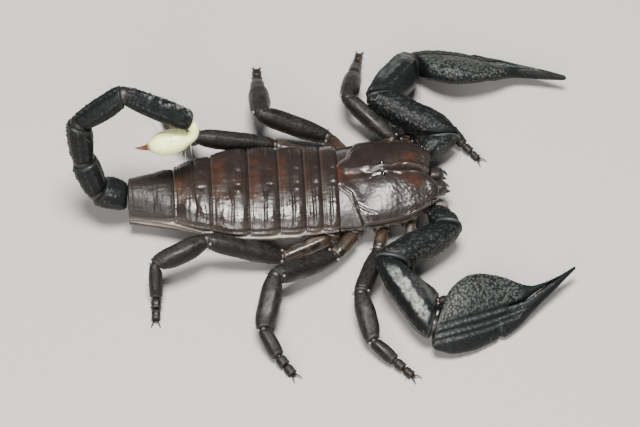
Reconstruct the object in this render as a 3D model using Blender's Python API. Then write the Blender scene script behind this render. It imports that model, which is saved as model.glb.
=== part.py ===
# A tree creeper scorpion, life size, with its tail arched over its back.
# The body's own frame: X runs from tail to head, Y to its left side, Z up from the floor,
# with X = 0 at the rear edge of the carapace.  Sizes are in millimetres; makeBody turns
# them into metres, and the whole animal hangs from one empty that centres it on the floor.

import math

import bmesh
import bpy
from mathutils import Vector

mm = 0.001
gap = 0.1

# the trunk
trunkLength = 26.0
tergiteLengths = (2.1, 2.1, 3.2, 3.7, 4.6, 4.7, 5.6)
firstSternite = 3
trunkHalfWidths = ((0, 6.5), (11, 6.75), (26.5, 2.75))
rimHeight = 4.1
trunkRise = 2.55
bellyHeight = 1.35
plateThickness = 0.45
plateStep = 0.14
tailRootHeight = 4.2

# the carapace and what is under it
carapaceLength = 12.3
carapaceHalfWidths = ((0, 6.5), (4, 6.75), (8.3, 6.15), (10.6, 5.2), (11.6, 4.6), (12.1, 3.9), (12.3, 3.2))
carapaceRise = 2.5
furrowDepth = 0.4
tubercleRise = 0.3
notchDepth = 0.75
carapaceFloor = 3.3
lidStart = 9.4
lidFloor = 4.35
headTurn = math.radians(6)
eyePlace = (5.8, 0.7)
eyeRadius = 0.3
eyeLevels = ((0, 0.75), (0.08, 0.98), (0.2, 0.9), (0.3, 0.55), (0.33, 0.2))

# the legs, as lengths of trochanter, femur, patella, tibia and tarsus
legLengths = {
    1: (3.2, 5.4, 4.8, 3.2, 2.6),
    2: (3.4, 7.9, 6.4, 3.6, 2.8),
    3: (4.2, 9.0, 7.0, 3.8, 2.9),
    4: (6.4, 9.8, 7.0, 4.2, 3.0),
}
legHips = {1: (8.6, 5.6), 2: (5.2, 6.2), 3: (1.8, 6.4), 4: (-1.3, 6.5)}
hipHeight = 2.35
ankleHeight = 1.0
soleAxisHeight = 0.28
legBulk = {1: 0.78, 2: 0.9, 3: 1.0, 4: 0.94}

# half width and half height of each part of a leg
legHalves = ((0.95, 1.05), (1.25, 1.4), (1.45, 1.5), (0.95, 0.98), (0.62, 0.62))

# each leg's pose: heading and pitch of trochanter, femur and patella, then the headings
# of tibia and tarsus, whose pitches bring the foot down to the floor
legPoses = {
    ("right", 1): ((-99, -13), (-97, 1), (-42, -3), 0, 0),
    ("right", 2): ((-106, -4), (-109, 9), (-79, -14), -45, -43),
    ("right", 3): ((-131, -2), (-148, 15), (-105, -17), -61, -54),
    ("right", 4): ((-158, -5), (177, 20), (-155, -6), -93, -92),
    ("left", 1): ((66, -10), (70, 2), (-42, 4), -48, -48),
    ("left", 2): ((40, 6), (134, 16), (80, -20), 79, 79),
    ("left", 3): ((124, 0), (170, 22), (93, -21), 89, 90),
    ("left", 4): ((164, 8), (-179, 14), (125, -35), 105, 115),
}

# the pedipalps, as lengths and shapes of trochanter, femur and patella; a shape is the
# half width, the half height, and the shares of them left at the root and at the end
palpRoot = (11.5, 4.4, 3.1)
palpLengths = (4.2, 9.8, 10.0)
palpShapes = (
    ("trochanter", 1.4, 1.4, 0.62, 0.85),
    ("femur", 1.8, 1.75, 0.7, 0.8),
    ("patella", 2.2, 2.2, 0.66, 0.6),
)
palpPoses = {
    "right": ((-66, 11), (-144, 5), (-61, -10), (25.5, -1)),
    "left": ((40, 9), (147, 12), (59, -17), (-9, -1)),
}

# the hands, as (distance from the wrist, size): from the axis to the inner edge, to the
# outer edge and to the line between the fingers, and half the thickness
chelaLength = 20.0
chelaInnerEdge = (
    (0, 1.5), (0.6, 2.5), (1.2, 3.2), (2.4, 3.8), (3.6, 3.98), (5.5, 3.7), (8, 2.92), (10, 2.0), (12, 0.72),
    (13.2, 0.05), (14, -0.25), (16, -0.42), (18, -0.36), (20, -0.1),
)
chelaOuterEdge = (
    (0, 1.4), (1.0, 2.6), (2, 3.19), (3.4, 3.9), (5, 4.4), (6.8, 4.68), (8.4, 4.58), (10, 4.17), (12, 3.36),
    (14, 2.58), (16, 1.87), (18, 1.09), (20, 0.34),
)
fingerLine = ((10.1, 1.45), (12, 1.6), (14, 1.2), (16, 0.78), (18, 0.4), (20, 0.12))
chelaHalfThickness = (
    (0, 1.2), (1.2, 1.45), (4, 1.6), (6, 1.5), (8, 1.25), (10, 0.95), (12, 0.8), (14, 0.7), (17, 0.58),
    (19, 0.4), (20, 0.28),
)
fingerStart = 10.2
manusDistances = (0, 0.5, 1.2, 2.4, 4, 6, 8, 9.5)
fixedFingerDistances = (10.1, 12, 14, 16, 18, 19.4, 20)
movingFingerDistances = (fingerStart, 10.6, 12, 14, 16, 18, 19.8)
handRoll = 30

# the tail: lengths, widths, depths and directions in its own leaning plane
tailLengths = (3.8, 4.9, 5.5, 6.8, 9.1)
tailWidths = (4.1, 3.5, 3.3, 2.9, 2.7)
tailDepths = (3.5, 3.3, 3.2, 2.8, 2.7)
tailAngles = (162, 108, 92, 35, -28)
tailLean = math.radians(13)

# the telson: a neck that bends back under the tail, the vesicle's radius at shares of its
# length, and the aculeus
neckBend = 1.1
neckRadius = 0.62
neckDrop = 0.45
stingAngle = -167
vesicleLength = 5.0
vesicleRadii = ((0.1, 1.05), (0.25, 1.38), (0.45, 1.55), (0.65, 1.5), (0.83, 1.12), (0.95, 0.66), (1, 0.42))
aculeusLength = 1.7

# what shows in front of and under the body; the chelicerae as (share, half width, half
# height, shift), and the plates between the legs as (x, half width)
cheliceraProfile = (
    (0, 0.8, 0.7, 0), (0.3, 0.98, 0.85, 0), (0.75, 0.98, 0.88, 0), (0.93, 0.75, 0.62, 0), (1, 0.35, 0.3, 0),
)
coxaOuterEdge = ((-3.2, 4.6), (-1, 5.3), (5, 5.3), (9, 4.3), (11.1, 3.4))
coxaInnerEdge = ((-3.2, 2.9), (-0.5, 1.6), (0.2, 1.5), (3.2, 1.45), (4.0, 0.08), (11.1, 0.08))
sternumPlan = ((0.35, 1.2), (1.6, 1.3), (2.6, 1.2), (3.3, 0.7))
operculumPlan = ((0.2, 1.2), (-0.6, 1.35), (-1.3, 1.1), (-1.6, 0.6))
combSpine = ((-2.3, 0.4), (-2.45, 1.1), (-2.8, 1.8), (-3.5, 2.4))

blackShell = ((0.016, 0.02, 0.019), 0.35)
brownShell = ((0.045, 0.03, 0.024), 0.28)
paleSkin = ((0.16, 0.12, 0.09), 0.55)
coxaBrown = ((0.09, 0.05, 0.025), 0.4)
creamShell = ((0.8, 0.82, 0.55), 0.35)
eyeBlack = ((0.004, 0.004, 0.004), 0.08)


def removeOldObjects():
    for item in list(bpy.data.objects):
        bpy.data.objects.remove(item, do_unlink=True)


def makeMaterial(name, look):
    colour, roughness = look
    material = bpy.data.materials.new(name)
    material.use_nodes = True
    shader = material.node_tree.nodes["Principled BSDF"]
    shader.inputs["Base Color"].default_value = (*colour, 1)
    shader.inputs["Roughness"].default_value = roughness
    shader.inputs["Metallic"].default_value = 0
    return material


def smoothStep(value, start, end):
    share = min(max((value - start) / (end - start), 0), 1)
    return share * share * (3 - 2 * share)


def throughPoints(value, points):
    # a smooth curve through (place, size) pairs, level at each of them
    for (place, size), (nextPlace, nextSize) in zip(points, points[1:]):
        if value <= nextPlace:
            return size + (nextSize - size) * smoothStep(value, place, nextPlace)
    return points[-1][1]


def betweenPoints(value, points):
    # straight runs between (place, size) pairs
    for (place, size), (nextPlace, nextSize) in zip(points, points[1:]):
        if value <= nextPlace:
            share = min(max((value - place) / (nextPlace - place), 0), 1)
            return size + (nextSize - size) * share
    return points[-1][1]


def placeRing(face, ring):
    for vert, point in zip(face.verts, ring):
        vert.co = Vector(point) * mm


def makeBody(name, rings, look, parent):
    # a capped circle, extruded from ring to ring
    shape = bmesh.new()
    bmesh.ops.create_circle(shape, cap_ends=True, segments=len(rings[0]), radius=mm)
    face = shape.faces[:][0]
    placeRing(face, rings[0])
    inside = []
    for ring in rings[1:]:
        made = bmesh.ops.extrude_face_region(shape, geom=[face])
        face = next(item for item in made["geom"] if isinstance(item, bmesh.types.BMFace))
        placeRing(face, ring)
        inside.append(face)
    bmesh.ops.delete(shape, geom=inside[:-1], context="FACES_ONLY")
    bmesh.ops.recalc_face_normals(shape, faces=shape.faces[:])
    mesh = bpy.data.meshes.new(name)
    shape.to_mesh(mesh)
    shape.free()
    mesh.shade_smooth()
    mesh.set_sharp_from_angle(angle=math.radians(40))
    body = bpy.data.objects.new(name, mesh)
    body.parent = parent
    mesh.materials.append(makeMaterial(name, look))
    bpy.context.scene.collection.objects.link(body)
    return body


# the trunk

def tergiteFront(number):
    return -sum(tergiteLengths[:number - 1])


def platedOutline(x, outline):
    # straight along each plate, and on the smooth outline where two plates meet
    edges = [-tergiteFront(number) for number in range(1, len(tergiteLengths) + 2)]
    return betweenPoints(-x, [(edge, outline(edge)) for edge in edges])


def trunkWidthAt(x):
    return platedOutline(x, lambda back: throughPoints(back, trunkHalfWidths))


def trunkRimAt(x):
    return platedOutline(x, lambda back: rimHeight - 0.8 * smoothStep(back, 18, 26))


def trunkRiseAt(x):
    return platedOutline(
        x, lambda back: trunkRise - 1.0 * smoothStep(back, 14, 26.5) + 1.15 * smoothStep(back, 18, 26))


def trunkBellyAt(x):
    return platedOutline(x, lambda back: bellyHeight + 0.5 * smoothStep(back, 20, 26.5))


def archPoints(halfWidth, rim, rise, count):
    points = []
    for index in range(count):
        turn = math.pi * index / (count - 1)
        points.append((halfWidth * math.cos(turn), rim + rise * math.sin(turn)))
    return points


def tergiteRing(x, lift, count=13):
    width = trunkWidthAt(x) + lift
    rise = trunkRiseAt(x) + lift
    rim = trunkRimAt(x)
    outer = archPoints(width, rim, rise, count)
    inner = archPoints(trunkWidthAt(x) - plateThickness, rim, trunkRiseAt(x) - plateThickness, count)
    return [(x, y, z) for y, z in outer + inner[::-1]]


def buildTergites(parent):
    front = 0
    for number, length in enumerate(tergiteLengths, start=1):
        rear = front - length
        stations = [(0, 0.0), (0.15, 0.07), (0.92, plateStep), (1, plateStep * 0.7)]
        start = front - gap / 2
        span = length - gap
        rings = [tergiteRing(start - span * share, lift) for share, lift in stations]
        makeBody(f"tergite_{number}", rings, brownShell, parent)
        front = rear


def sterniteEdgeAt(x):
    return trunkWidthAt(x) + platedOutline(x, lambda back: 1.1 * smoothStep(back, 16, 25) - 1.0)


def sterniteRing(x, count=9):
    edge = sterniteEdgeAt(x)
    belly = trunkBellyAt(x)
    points = []
    for index in range(count):
        across = 1 - 2 * index / (count - 1)
        points.append((x, edge * across, belly + 0.35 * across ** 4))
    above = [(x, y * 0.985, z + plateThickness) for x, y, z in points[::-1]]
    return points + above


def buildSternites(parent):
    for number in range(firstSternite, len(tergiteLengths) + 1):
        start = tergiteFront(number) - gap / 2
        span = tergiteLengths[number - 1] - gap
        rings = [sterniteRing(start - span * share) for share in (0, 0.5, 1)]
        makeBody(f"sternite_{number}", rings, brownShell, parent)


def coreRing(x, count=13):
    inset = plateThickness + gap
    rim = trunkRimAt(x)
    width = trunkWidthAt(x)
    top = archPoints(width - inset, rim, trunkRiseAt(x) - inset, count)
    belly = trunkBellyAt(x) + plateThickness + gap + 1.15 * smoothStep(x, -6.4, -4.2)
    edge = sterniteEdgeAt(x)
    flank = rim - belly
    side = [
        (width - 0.2, rim - 0.06 * flank),
        (width + 0.15, rim - 0.27 * flank),
        (width + 0.12, rim - 0.48 * flank),
        (edge + 0.15, belly + 0.44),
        (edge - 0.4, belly + 0.34),
        (edge * 0.6, belly + 0.08),
    ]
    left = [(y, z) for y, z in side]
    right = [(-y, z) for y, z in side]
    around = top + right + [(0, belly)] + left[::-1]
    return [(x, y, z) for y, z in around]


def buildAbdomen(parent):
    edges = [tergiteFront(number) for number in range(2, len(tergiteLengths) + 1)]
    places = sorted([*edges, -gap / 2, -5.2, -6.4, gap / 2 - trunkLength], reverse=True)
    makeBody("abdomen", [coreRing(x) for x in places], paleSkin, parent)


# the head

def turned(point):
    # bends the head end to the animal's left, more and more towards the front
    x, y, z = point
    ahead = max(x, 0)
    share = min(ahead / carapaceLength, 1)
    return (x - y * math.sin(headTurn) * share, y + ahead * math.sin(headTurn), z)


def carapaceWidthAt(x):
    return betweenPoints(x, carapaceHalfWidths)


def carapaceRimAt(x):
    return rimHeight + 0.5 * smoothStep(x, 7, 10.6)


def carapaceTop(x, y):
    across = min(abs(y) / carapaceWidthAt(x), 1)
    rise = carapaceRise - 1.75 * smoothStep(x, 6, carapaceLength + 0.6)
    furrow = furrowDepth * math.exp(-(y / 0.5) ** 2) * smoothStep(x, -1, 1.5)
    tubercle = tubercleRise * math.exp(-(y / 0.7) ** 2 - ((x - eyePlace[0]) / 1.1) ** 2)
    return carapaceRimAt(x) + rise * math.sqrt(1 - across ** 2) - furrow + tubercle


def notchAt(x, y):
    # how far the front edge draws back in its middle
    return notchDepth * smoothStep(x, 9.5, carapaceLength) * math.exp(-(y / 1.5) ** 2)


def carapaceRing(x, count=25):
    width = carapaceWidthAt(x)
    floor = carapaceFloor + (lidFloor - carapaceFloor) * smoothStep(x, lidStart - 0.8, lidStart)
    acrossTop = [width * math.cos(math.pi * index / (count - 1)) for index in range(count)]
    acrossFloor = [(width - plateThickness) * share for share in (-1, -0.5, 0, 0.5, 1)]
    points = [(x - notchAt(x, y), y, carapaceTop(x, y)) for y in acrossTop]
    points += [(x - notchAt(x, y), y, floor) for y in acrossFloor]
    return [turned(point) for point in points]


def buildCarapace(parent):
    stations = (gap / 2, 0.9, 2.2, 3.6, 4.8, 5.8, 6.8, 8, 8.6, 9.4, 10.6, 11.4, 11.9, 12.2, 12.3)
    makeBody("carapace", [carapaceRing(x) for x in stations], brownShell, parent)


def eyeRing(x, y, z, radius, count=10):
    turns = [2 * math.pi * index / count for index in range(count)]
    return [turned((x + radius * math.cos(turn), y + radius * math.sin(turn), z)) for turn in turns]


def buildEyes(parent):
    x, aside = eyePlace
    for side, sign in (("left", 1), ("right", -1)):
        y = aside * sign
        base = carapaceTop(x, y) + 0.07
        rings = [eyeRing(x, y, base + lift, eyeRadius * share) for lift, share in eyeLevels]
        makeBody(f"median_eye_{side}", rings, eyeBlack, parent)


# jointed limbs

def direction(heading, pitch):
    heading = math.radians(heading)
    pitch = math.radians(pitch)
    level = math.cos(pitch)
    return Vector((level * math.cos(heading), level * math.sin(heading), math.sin(pitch)))


def sideways(along, roll=0):
    side = Vector((0, 0, 1)).cross(along).normalized()
    up = along.cross(side)
    angle = math.radians(roll)
    return side * math.cos(angle) + up * math.sin(angle)


def roundSection(count, power=2):
    points = []
    for index in range(count):
        turn = 2 * math.pi * (index + 0.5) / count
        across, up = math.cos(turn), math.sin(turn)
        points.append((
            math.copysign(abs(across) ** (2 / power), across),
            math.copysign(abs(up) ** (2 / power), up),
        ))
    return points


def planeReach(offset, along, plane):
    # how far along the axis a line at this offset meets the plane (point and normal)
    point, normal = plane
    return (point - offset).dot(normal) / along.dot(normal)


def lengthRings(start, end, side, planes, stations, section):
    # rings from one joint's plane to the next; a station is (share, half width, half
    # height, shift sideways)
    along = (end - start).normalized()
    up = along.cross(side)
    rings = []
    for share, halfWidth, halfHeight, shift in stations:
        ring = []
        for across, lift in section:
            offset = start + side * (halfWidth * across + shift) + up * (halfHeight * lift)
            first = planeReach(offset, along, planes[0])
            last = planeReach(offset, along, planes[1])
            ring.append(offset + along * (first + (last - first) * share))
        rings.append(ring)
    return rings


def bisector(before, after):
    return (before + after).normalized()


def movedPlane(point, normal, distance):
    return (point + normal * distance, normal)


def limbNode(joints, lead, follow, sides, profiles, section):
    # one node through its joints; lead and follow are the directions of the pieces
    # before and after it, which the node's end planes halve
    ways = [(end - start).normalized() for start, end in zip(joints, joints[1:])]
    normals = [bisector(lead, ways[0])]
    normals += [bisector(before, after) for before, after in zip(ways, ways[1:])]
    normals.append(bisector(ways[-1], follow))
    rings = []
    for index, profile in enumerate(profiles):
        startShift = gap / 2 if index == 0 else 0
        endShift = -gap / 2 if index == len(profiles) - 1 else 0
        planes = (
            movedPlane(joints[index], normals[index], startShift),
            movedPlane(joints[index + 1], normals[index + 1], endShift),
        )
        stations = profile if index == 0 else profile[1:]
        rings += lengthRings(joints[index], joints[index + 1], sides[index], planes, stations, section)
    return rings


def podomere(halfWidth, halfHeight, root=0.6, end=0.7):
    # slim at its root, fullest in the middle, and slim again at its end
    shape = ((0, root), (0.12, (1 + root) / 2), (0.4, 1), (0.82, 0.97), (1, end))
    return [(share, halfWidth * size, halfHeight * size, 0) for share, size in shape]


# the legs

def legJoints(side, number):
    sign = 1 if side == "left" else -1
    hipX, hipY = legHips[number]
    point = Vector(turned((hipX, hipY * sign, hipHeight)))
    pose = legPoses[side, number]
    lengths = legLengths[number]
    joints = [point]
    for length, (heading, pitch) in zip(lengths, pose[:3]):
        point = point + direction(heading, pitch) * length
        joints.append(point)
    for length, heading, height in zip(lengths[3:], pose[3:], (ankleHeight, soleAxisHeight)):
        drop = math.degrees(math.asin((height - point.z) / length))
        point = point + direction(heading, drop) * length
        joints.append(point)
    return joints


def buildLeg(side, number, parent):
    joints = legJoints(side, number)
    bulk = legBulk[number]
    ways = [(end - start).normalized() for start, end in zip(joints, joints[1:])]
    sides = [sideways(way) for way in ways]
    section = roundSection(8)
    halves = [(width * bulk, height * bulk) for width, height in legHalves]
    upper = [podomere(*halves[0], 0.8, 0.75), podomere(*halves[1], 0.7, 0.75)]
    rings = limbNode(joints[:3], ways[0], ways[2], sides[:2], upper, section)
    makeBody(f"leg_{number}_{side}_upper", rings, blackShell, parent)
    ends = ((0.65, 0.55), (0.8, 0.75), (0.9, 0.75))
    lower = [podomere(*half, *end) for half, end in zip(halves[2:], ends)]
    rings = limbNode(joints[2:], ways[1], ways[4], sides[2:], lower, section)
    rings = [[Vector((x, y, max(z, 0))) for x, y, z in ring] for ring in rings]
    makeBody(f"leg_{number}_{side}_lower", rings, blackShell, parent)


def buildLegs(parent):
    for side, number in legPoses:
        buildLeg(side, number, parent)


# the pedipalps

def palpJoints(side):
    sign = 1 if side == "left" else -1
    rootX, rootY, rootZ = palpRoot
    point = Vector(turned((rootX, rootY * sign, rootZ)))
    joints = [point]
    lengths = (*palpLengths, chelaLength)
    for length, (heading, pitch) in zip(lengths, palpPoses[side]):
        point = point + direction(heading, pitch) * length
        joints.append(point)
    return joints


def chelaStation(distance, inner, outer, outward):
    return (
        distance / chelaLength,
        abs(outer - inner) / 2,
        betweenPoints(distance, chelaHalfThickness),
        (outer + inner) / 2 * outward,
    )


def handStations(outward):
    # the manus over its whole width, then the fixed finger on the inner side of the line
    stations = []
    for distance in manusDistances + fixedFingerDistances:
        outer = betweenPoints(distance, chelaOuterEdge)
        if distance in fixedFingerDistances:
            outer = betweenPoints(distance, fingerLine) - gap / 2
        stations.append(chelaStation(distance, -betweenPoints(distance, chelaInnerEdge), outer, outward))
    return stations


def fingerStations(outward):
    stations = []
    for distance in movingFingerDistances:
        inner = betweenPoints(distance, fingerLine) + gap / 2
        outer = max(betweenPoints(distance, chelaOuterEdge), inner + 0.3)
        stations.append(chelaStation(distance, inner, outer, outward))
    return stations


def buildPalp(side, parent):
    outward = 1 if side == "left" else -1
    joints = palpJoints(side)
    ways = [(end - start).normalized() for start, end in zip(joints, joints[1:])]
    sides = [sideways(way) for way in ways]
    section = roundSection(10, 2.6)
    for index, (part, width, height, root, end) in enumerate(palpShapes):
        lead = ways[max(index - 1, 0)]
        profile = podomere(width, height, root, end)
        rings = limbNode(joints[index:index + 2], lead, ways[index + 1], sides[index:index + 1],
                         [profile], section)
        makeBody(f"pedipalp_{side}_{part}", rings, blackShell, parent)
    roll = -handRoll * outward
    side3 = sideways(ways[3], roll)
    handSection = roundSection(12, 2.3)
    wrist = movedPlane(joints[3], bisector(ways[2], ways[3]), gap / 2)
    tip = (joints[4], ways[3])
    rings = lengthRings(joints[3], joints[4], side3, (wrist, tip), handStations(outward), handSection)
    makeBody(f"pedipalp_{side}_hand", rings, blackShell, parent)
    rings = lengthRings(joints[3], joints[4], side3, (wrist, tip), fingerStations(outward), handSection)
    makeBody(f"pedipalp_{side}_movable_finger", rings, blackShell, parent)


# the tail

def inArch(angle):
    # a direction in the tail's plane, which leans to the animal's left
    angle = math.radians(angle)
    up = Vector((0, math.sin(tailLean), math.cos(tailLean)))
    return Vector((1, 0, 0)) * math.cos(angle) + up * math.sin(angle)


def tailJoints():
    point = Vector((-trunkLength, 0, tailRootHeight))
    joints = [point]
    for length, angle in zip(tailLengths, tailAngles):
        point = point + inArch(angle) * length
        joints.append(point)
    return joints


def buildTail(parent):
    joints = tailJoints()
    side = Vector((0, math.cos(tailLean), -math.sin(tailLean)))
    section = roundSection(14, 3)
    ways = [inArch(angle) for angle in tailAngles]
    for index, (width, depth) in enumerate(zip(tailWidths, tailDepths)):
        lead = ways[index - 1] if index else inArch(-tailAngles[0])
        follow = ways[index + 1] if index + 1 < len(ways) else ways[index]
        profile = podomere(width / 2, depth / 2, 0.8, 0.85)
        rings = limbNode(joints[index:index + 2], lead, follow, [side], [profile], section)
        makeBody(f"metasoma_{index + 1}", rings, blackShell, parent)


def buildTelson(parent):
    # the neck bends back under the fifth segment, then the vesicle swells and ends in
    # the aculeus
    side = Vector((0, math.cos(tailLean), -math.sin(tailLean)))
    section = roundSection(12)
    firstAngle = tailAngles[-1]
    lastAngle = stingAngle
    point = tailJoints()[-1] + inArch(firstAngle) * gap - inArch(firstAngle + 90) * neckDrop
    neckSteps = 6
    neckArc = math.radians(firstAngle - lastAngle) * neckBend
    steps = []
    for index in range(neckSteps):
        angle = firstAngle + (lastAngle - firstAngle) * (index + 0.5) / neckSteps
        steps.append((neckArc / neckSteps, angle, neckRadius + 0.2 * (index / neckSteps) ** 2))
    before = 0
    for share, radius in vesicleRadii:
        steps.append(((share - before) * vesicleLength, lastAngle, radius))
        before = share
    for index in range(4):
        steps.append((aculeusLength / 4, lastAngle - 5 * index, 0.34 - 0.07 * index))
    rings = []
    for length, angle, radius in [(0, firstAngle, neckRadius)] + steps:
        along = inArch(angle)
        up = along.cross(side)
        point = point + along * length
        rings.append([point + side * (radius * across) + up * (radius * lift) for across, lift in section])
    makeBody("telson", rings, creamShell, parent)


# the mouthparts and the underside

def buildChelicerae(parent):
    section = roundSection(10, 3)
    for side, sign in (("left", 1), ("right", -1)):
        start = Vector(turned((9.7, 1.08 * sign, 3.35)))
        end = Vector(turned((13.9, 1.05 * sign, 3.05)))
        along = (end - start).normalized()
        planes = ((start, along), (end, along))
        rings = lengthRings(start, end, sideways(along), planes, cheliceraProfile, section)
        makeBody(f"chelicera_{side}", rings, brownShell, parent)


def coxaOuter(x):
    # the outer edge of the coxae, with a lobe at each leg and a slimmer one in front
    lobes = sum(0.75 * math.exp(-((x - hipX) / 0.95) ** 2) for hipX, hipY in legHips.values())
    return throughPoints(x, coxaOuterEdge) + lobes


def coxaRing(x, sign):
    inner = throughPoints(x, coxaInnerEdge)
    outer = coxaOuter(x)
    top = 2.5 + (carapaceFloor - gap - 2.5) * smoothStep(x, 0, 0.4)
    top -= 0.9 * smoothStep(x, 9.0, 9.6)
    bottom = 1.15 + 0.25 * smoothStep(x, 6, 11)
    shape = [
        (inner, bottom + 0.25),
        (inner + 0.4, bottom),
        ((inner + outer) / 2, bottom),
        (outer - 1.1, bottom + 0.15),
        (outer - 0.2, (bottom + top) / 2),
        (outer - 0.3, top - 0.15),
        (outer - 0.7, top),
        (inner, top),
    ]
    return [turned((x, y * sign, z)) for y, z in shape]


def buildCoxae(parent):
    count = 20
    stations = [-3.2 + 14.3 * index / (count - 1) for index in range(count)]
    for side, sign in (("left", 1), ("right", -1)):
        rings = [coxaRing(x, sign) for x in stations]
        makeBody(f"coxae_{side}", rings, coxaBrown, parent)


def buildSternum(parent):
    rings = []
    for x, halfWidth in sternumPlan:
        points = [(halfWidth, 1.3), (halfWidth, 2.6), (-halfWidth, 2.6), (-halfWidth, 1.3)]
        rings.append([turned((x, y, z)) for y, z in points])
    makeBody("sternum", rings, coxaBrown, parent)


def buildOperculum(parent):
    rings = []
    for x, halfWidth in operculumPlan:
        points = [(halfWidth, 1.45), (halfWidth, 2.2), (-halfWidth, 2.2), (-halfWidth, 1.45)]
        rings.append([(x, y, z) for y, z in points])
    makeBody("genital_operculum", rings, brownShell, parent)


def buildPectines(parent):
    for side, sign in (("left", 1), ("right", -1)):
        rings = []
        for x, y in combSpine:
            front = (x + 0.5, (y + 0.25) * sign)
            rear = (x - 0.45, (y - 0.2) * sign)
            rings.append([(*front, 1.5), (*front, 2.1), (*rear, 2.1), (*rear, 1.5)])
        makeBody(f"pectine_{side}", rings, paleSkin, parent)


def centreOnFloor(parent):
    # the origin goes to the bottom centre of the animal's box
    bodies = [item for item in bpy.data.objects if item.type == "MESH"]
    points = [vert.co for body in bodies for vert in body.data.vertices]
    low = [min(point[axis] for point in points) for axis in range(3)]
    high = [max(point[axis] for point in points) for axis in range(3)]
    parent.location = (-(low[0] + high[0]) / 2, -(low[1] + high[1]) / 2, -low[2])
    bpy.context.view_layer.update()


def buildScorpion():
    removeOldObjects()
    scorpion = bpy.data.objects.new("scorpion", None)
    bpy.context.scene.collection.objects.link(scorpion)
    buildCarapace(scorpion)
    buildEyes(scorpion)
    buildChelicerae(scorpion)
    buildTergites(scorpion)
    buildAbdomen(scorpion)
    buildSternites(scorpion)
    buildCoxae(scorpion)
    buildSternum(scorpion)
    buildOperculum(scorpion)
    buildPectines(scorpion)
    for side in ("left", "right"):
        buildPalp(side, scorpion)
    buildLegs(scorpion)
    buildTail(scorpion)
    buildTelson(scorpion)
    centreOnFloor(scorpion)


buildScorpion()
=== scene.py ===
import functools
import math
import random

import bmesh
import bpy
from mathutils import Matrix, Vector, noise


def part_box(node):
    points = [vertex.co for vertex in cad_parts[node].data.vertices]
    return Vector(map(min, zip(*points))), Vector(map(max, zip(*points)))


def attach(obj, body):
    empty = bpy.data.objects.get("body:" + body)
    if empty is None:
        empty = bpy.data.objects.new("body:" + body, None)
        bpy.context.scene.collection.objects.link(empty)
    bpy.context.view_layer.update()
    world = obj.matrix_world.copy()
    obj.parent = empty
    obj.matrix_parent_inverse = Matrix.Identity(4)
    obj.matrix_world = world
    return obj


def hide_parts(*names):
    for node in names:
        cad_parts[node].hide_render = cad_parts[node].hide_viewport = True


# A tree creeper scorpion, life size, its tail arched up behind it.  Shapes are worked out
# in the body's own frame and in millimetres: X forward from the rear edge of the carapace,
# Y to the animal's left, Z up from the floor.  finishPiece sets them into the fixed frame.

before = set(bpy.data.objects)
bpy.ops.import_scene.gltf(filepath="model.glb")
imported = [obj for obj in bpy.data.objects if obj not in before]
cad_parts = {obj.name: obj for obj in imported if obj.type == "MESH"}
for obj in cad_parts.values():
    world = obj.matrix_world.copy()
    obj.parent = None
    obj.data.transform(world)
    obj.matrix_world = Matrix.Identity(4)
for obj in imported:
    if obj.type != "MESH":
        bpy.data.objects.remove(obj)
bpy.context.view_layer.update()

mm = 0.001
gap = 0.1
plateLow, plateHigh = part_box("tergite_1")
bodyOrigin = Vector((plateHigh.x + gap / 2 * mm, (plateLow.y + plateHigh.y) / 2, 0))
toFrame = Matrix.Translation(bodyOrigin) @ Matrix.Diagonal((mm, mm, mm, 1))
sides = {"left": 1, "right": -1}
# of the marks, grain lays the paler colour, partly the granules' own tint and partly painted highlight, and
# the next lays the warm tint, which on the patella is a painted highlight stripe
markNames = ("along", "across", "up", "grain", "warmTintAndPaintedStripe", "polish")


# curves and small helpers

def clamped(value):
    return min(max(value, 0), 1)


def smoothStep(value, start, end):
    share = clamped((value - start) / (end - start))
    return share * share * (3 - 2 * share)


def within(value, start, full, fading, end):
    # rises from start to full, and falls from fading to end
    return smoothStep(value, start, full) * (1 - smoothStep(value, fading, end))


def ridge(value, centre, width):
    return math.exp(-((value - centre) / width) ** 2)


def throughPoints(value, points):
    # level at each (place, size) pair
    for (place, size), (nextPlace, nextSize) in zip(points, points[1:]):
        if value <= nextPlace:
            return size + (nextSize - size) * smoothStep(value, place, nextPlace)
    return points[-1][1]


@functools.lru_cache(maxsize=None)
def slopesOf(points):
    runs = [(high - low) / (right - left) for (left, low), (right, high) in zip(points, points[1:])]
    inner = [2 * a * b / (a + b) if a * b > 0 else 0 for a, b in zip(runs, runs[1:])]
    return [runs[0], *inner, runs[-1]]


def curveThrough(value, points):
    # a smooth curve through (place, size) pairs that never swings past them
    if value <= points[0][0]:
        return points[0][1]
    slopes = slopesOf(points)
    for index, ((left, low), (right, high)) in enumerate(zip(points, points[1:])):
        if value <= right:
            run = right - left
            t = (value - left) / run
            rise = low + (high - low) * t * t * (3 - 2 * t)
            return rise + run * t * (1 - t) * (slopes[index] * (1 - t) - slopes[index + 1] * t)
    return points[-1][1]


def pathDistance(x, y, path):
    # how far a place is from a line of points, and how far along it that is
    best = (1e9, 0)
    for index, ((x0, y0), (x1, y1)) in enumerate(zip(path, path[1:])):
        dx, dy = x1 - x0, y1 - y0
        share = clamped(((x - x0) * dx + (y - y0) * dy) / (dx * dx + dy * dy))
        best = min(best, (math.hypot(x - x0 - dx * share, y - y0 - dy * share), index + share))
    return best


def beads(point, spacing):
    # rounded granules packed side by side, 1 at their tops and 0 between them
    nearest = noise.voronoi(point / spacing)[0][0]
    return max(0.0, 1 - (nearest / 0.62) ** 2)


def unevenness(point, size):
    return noise.noise(point / size)


# shape tools

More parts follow.
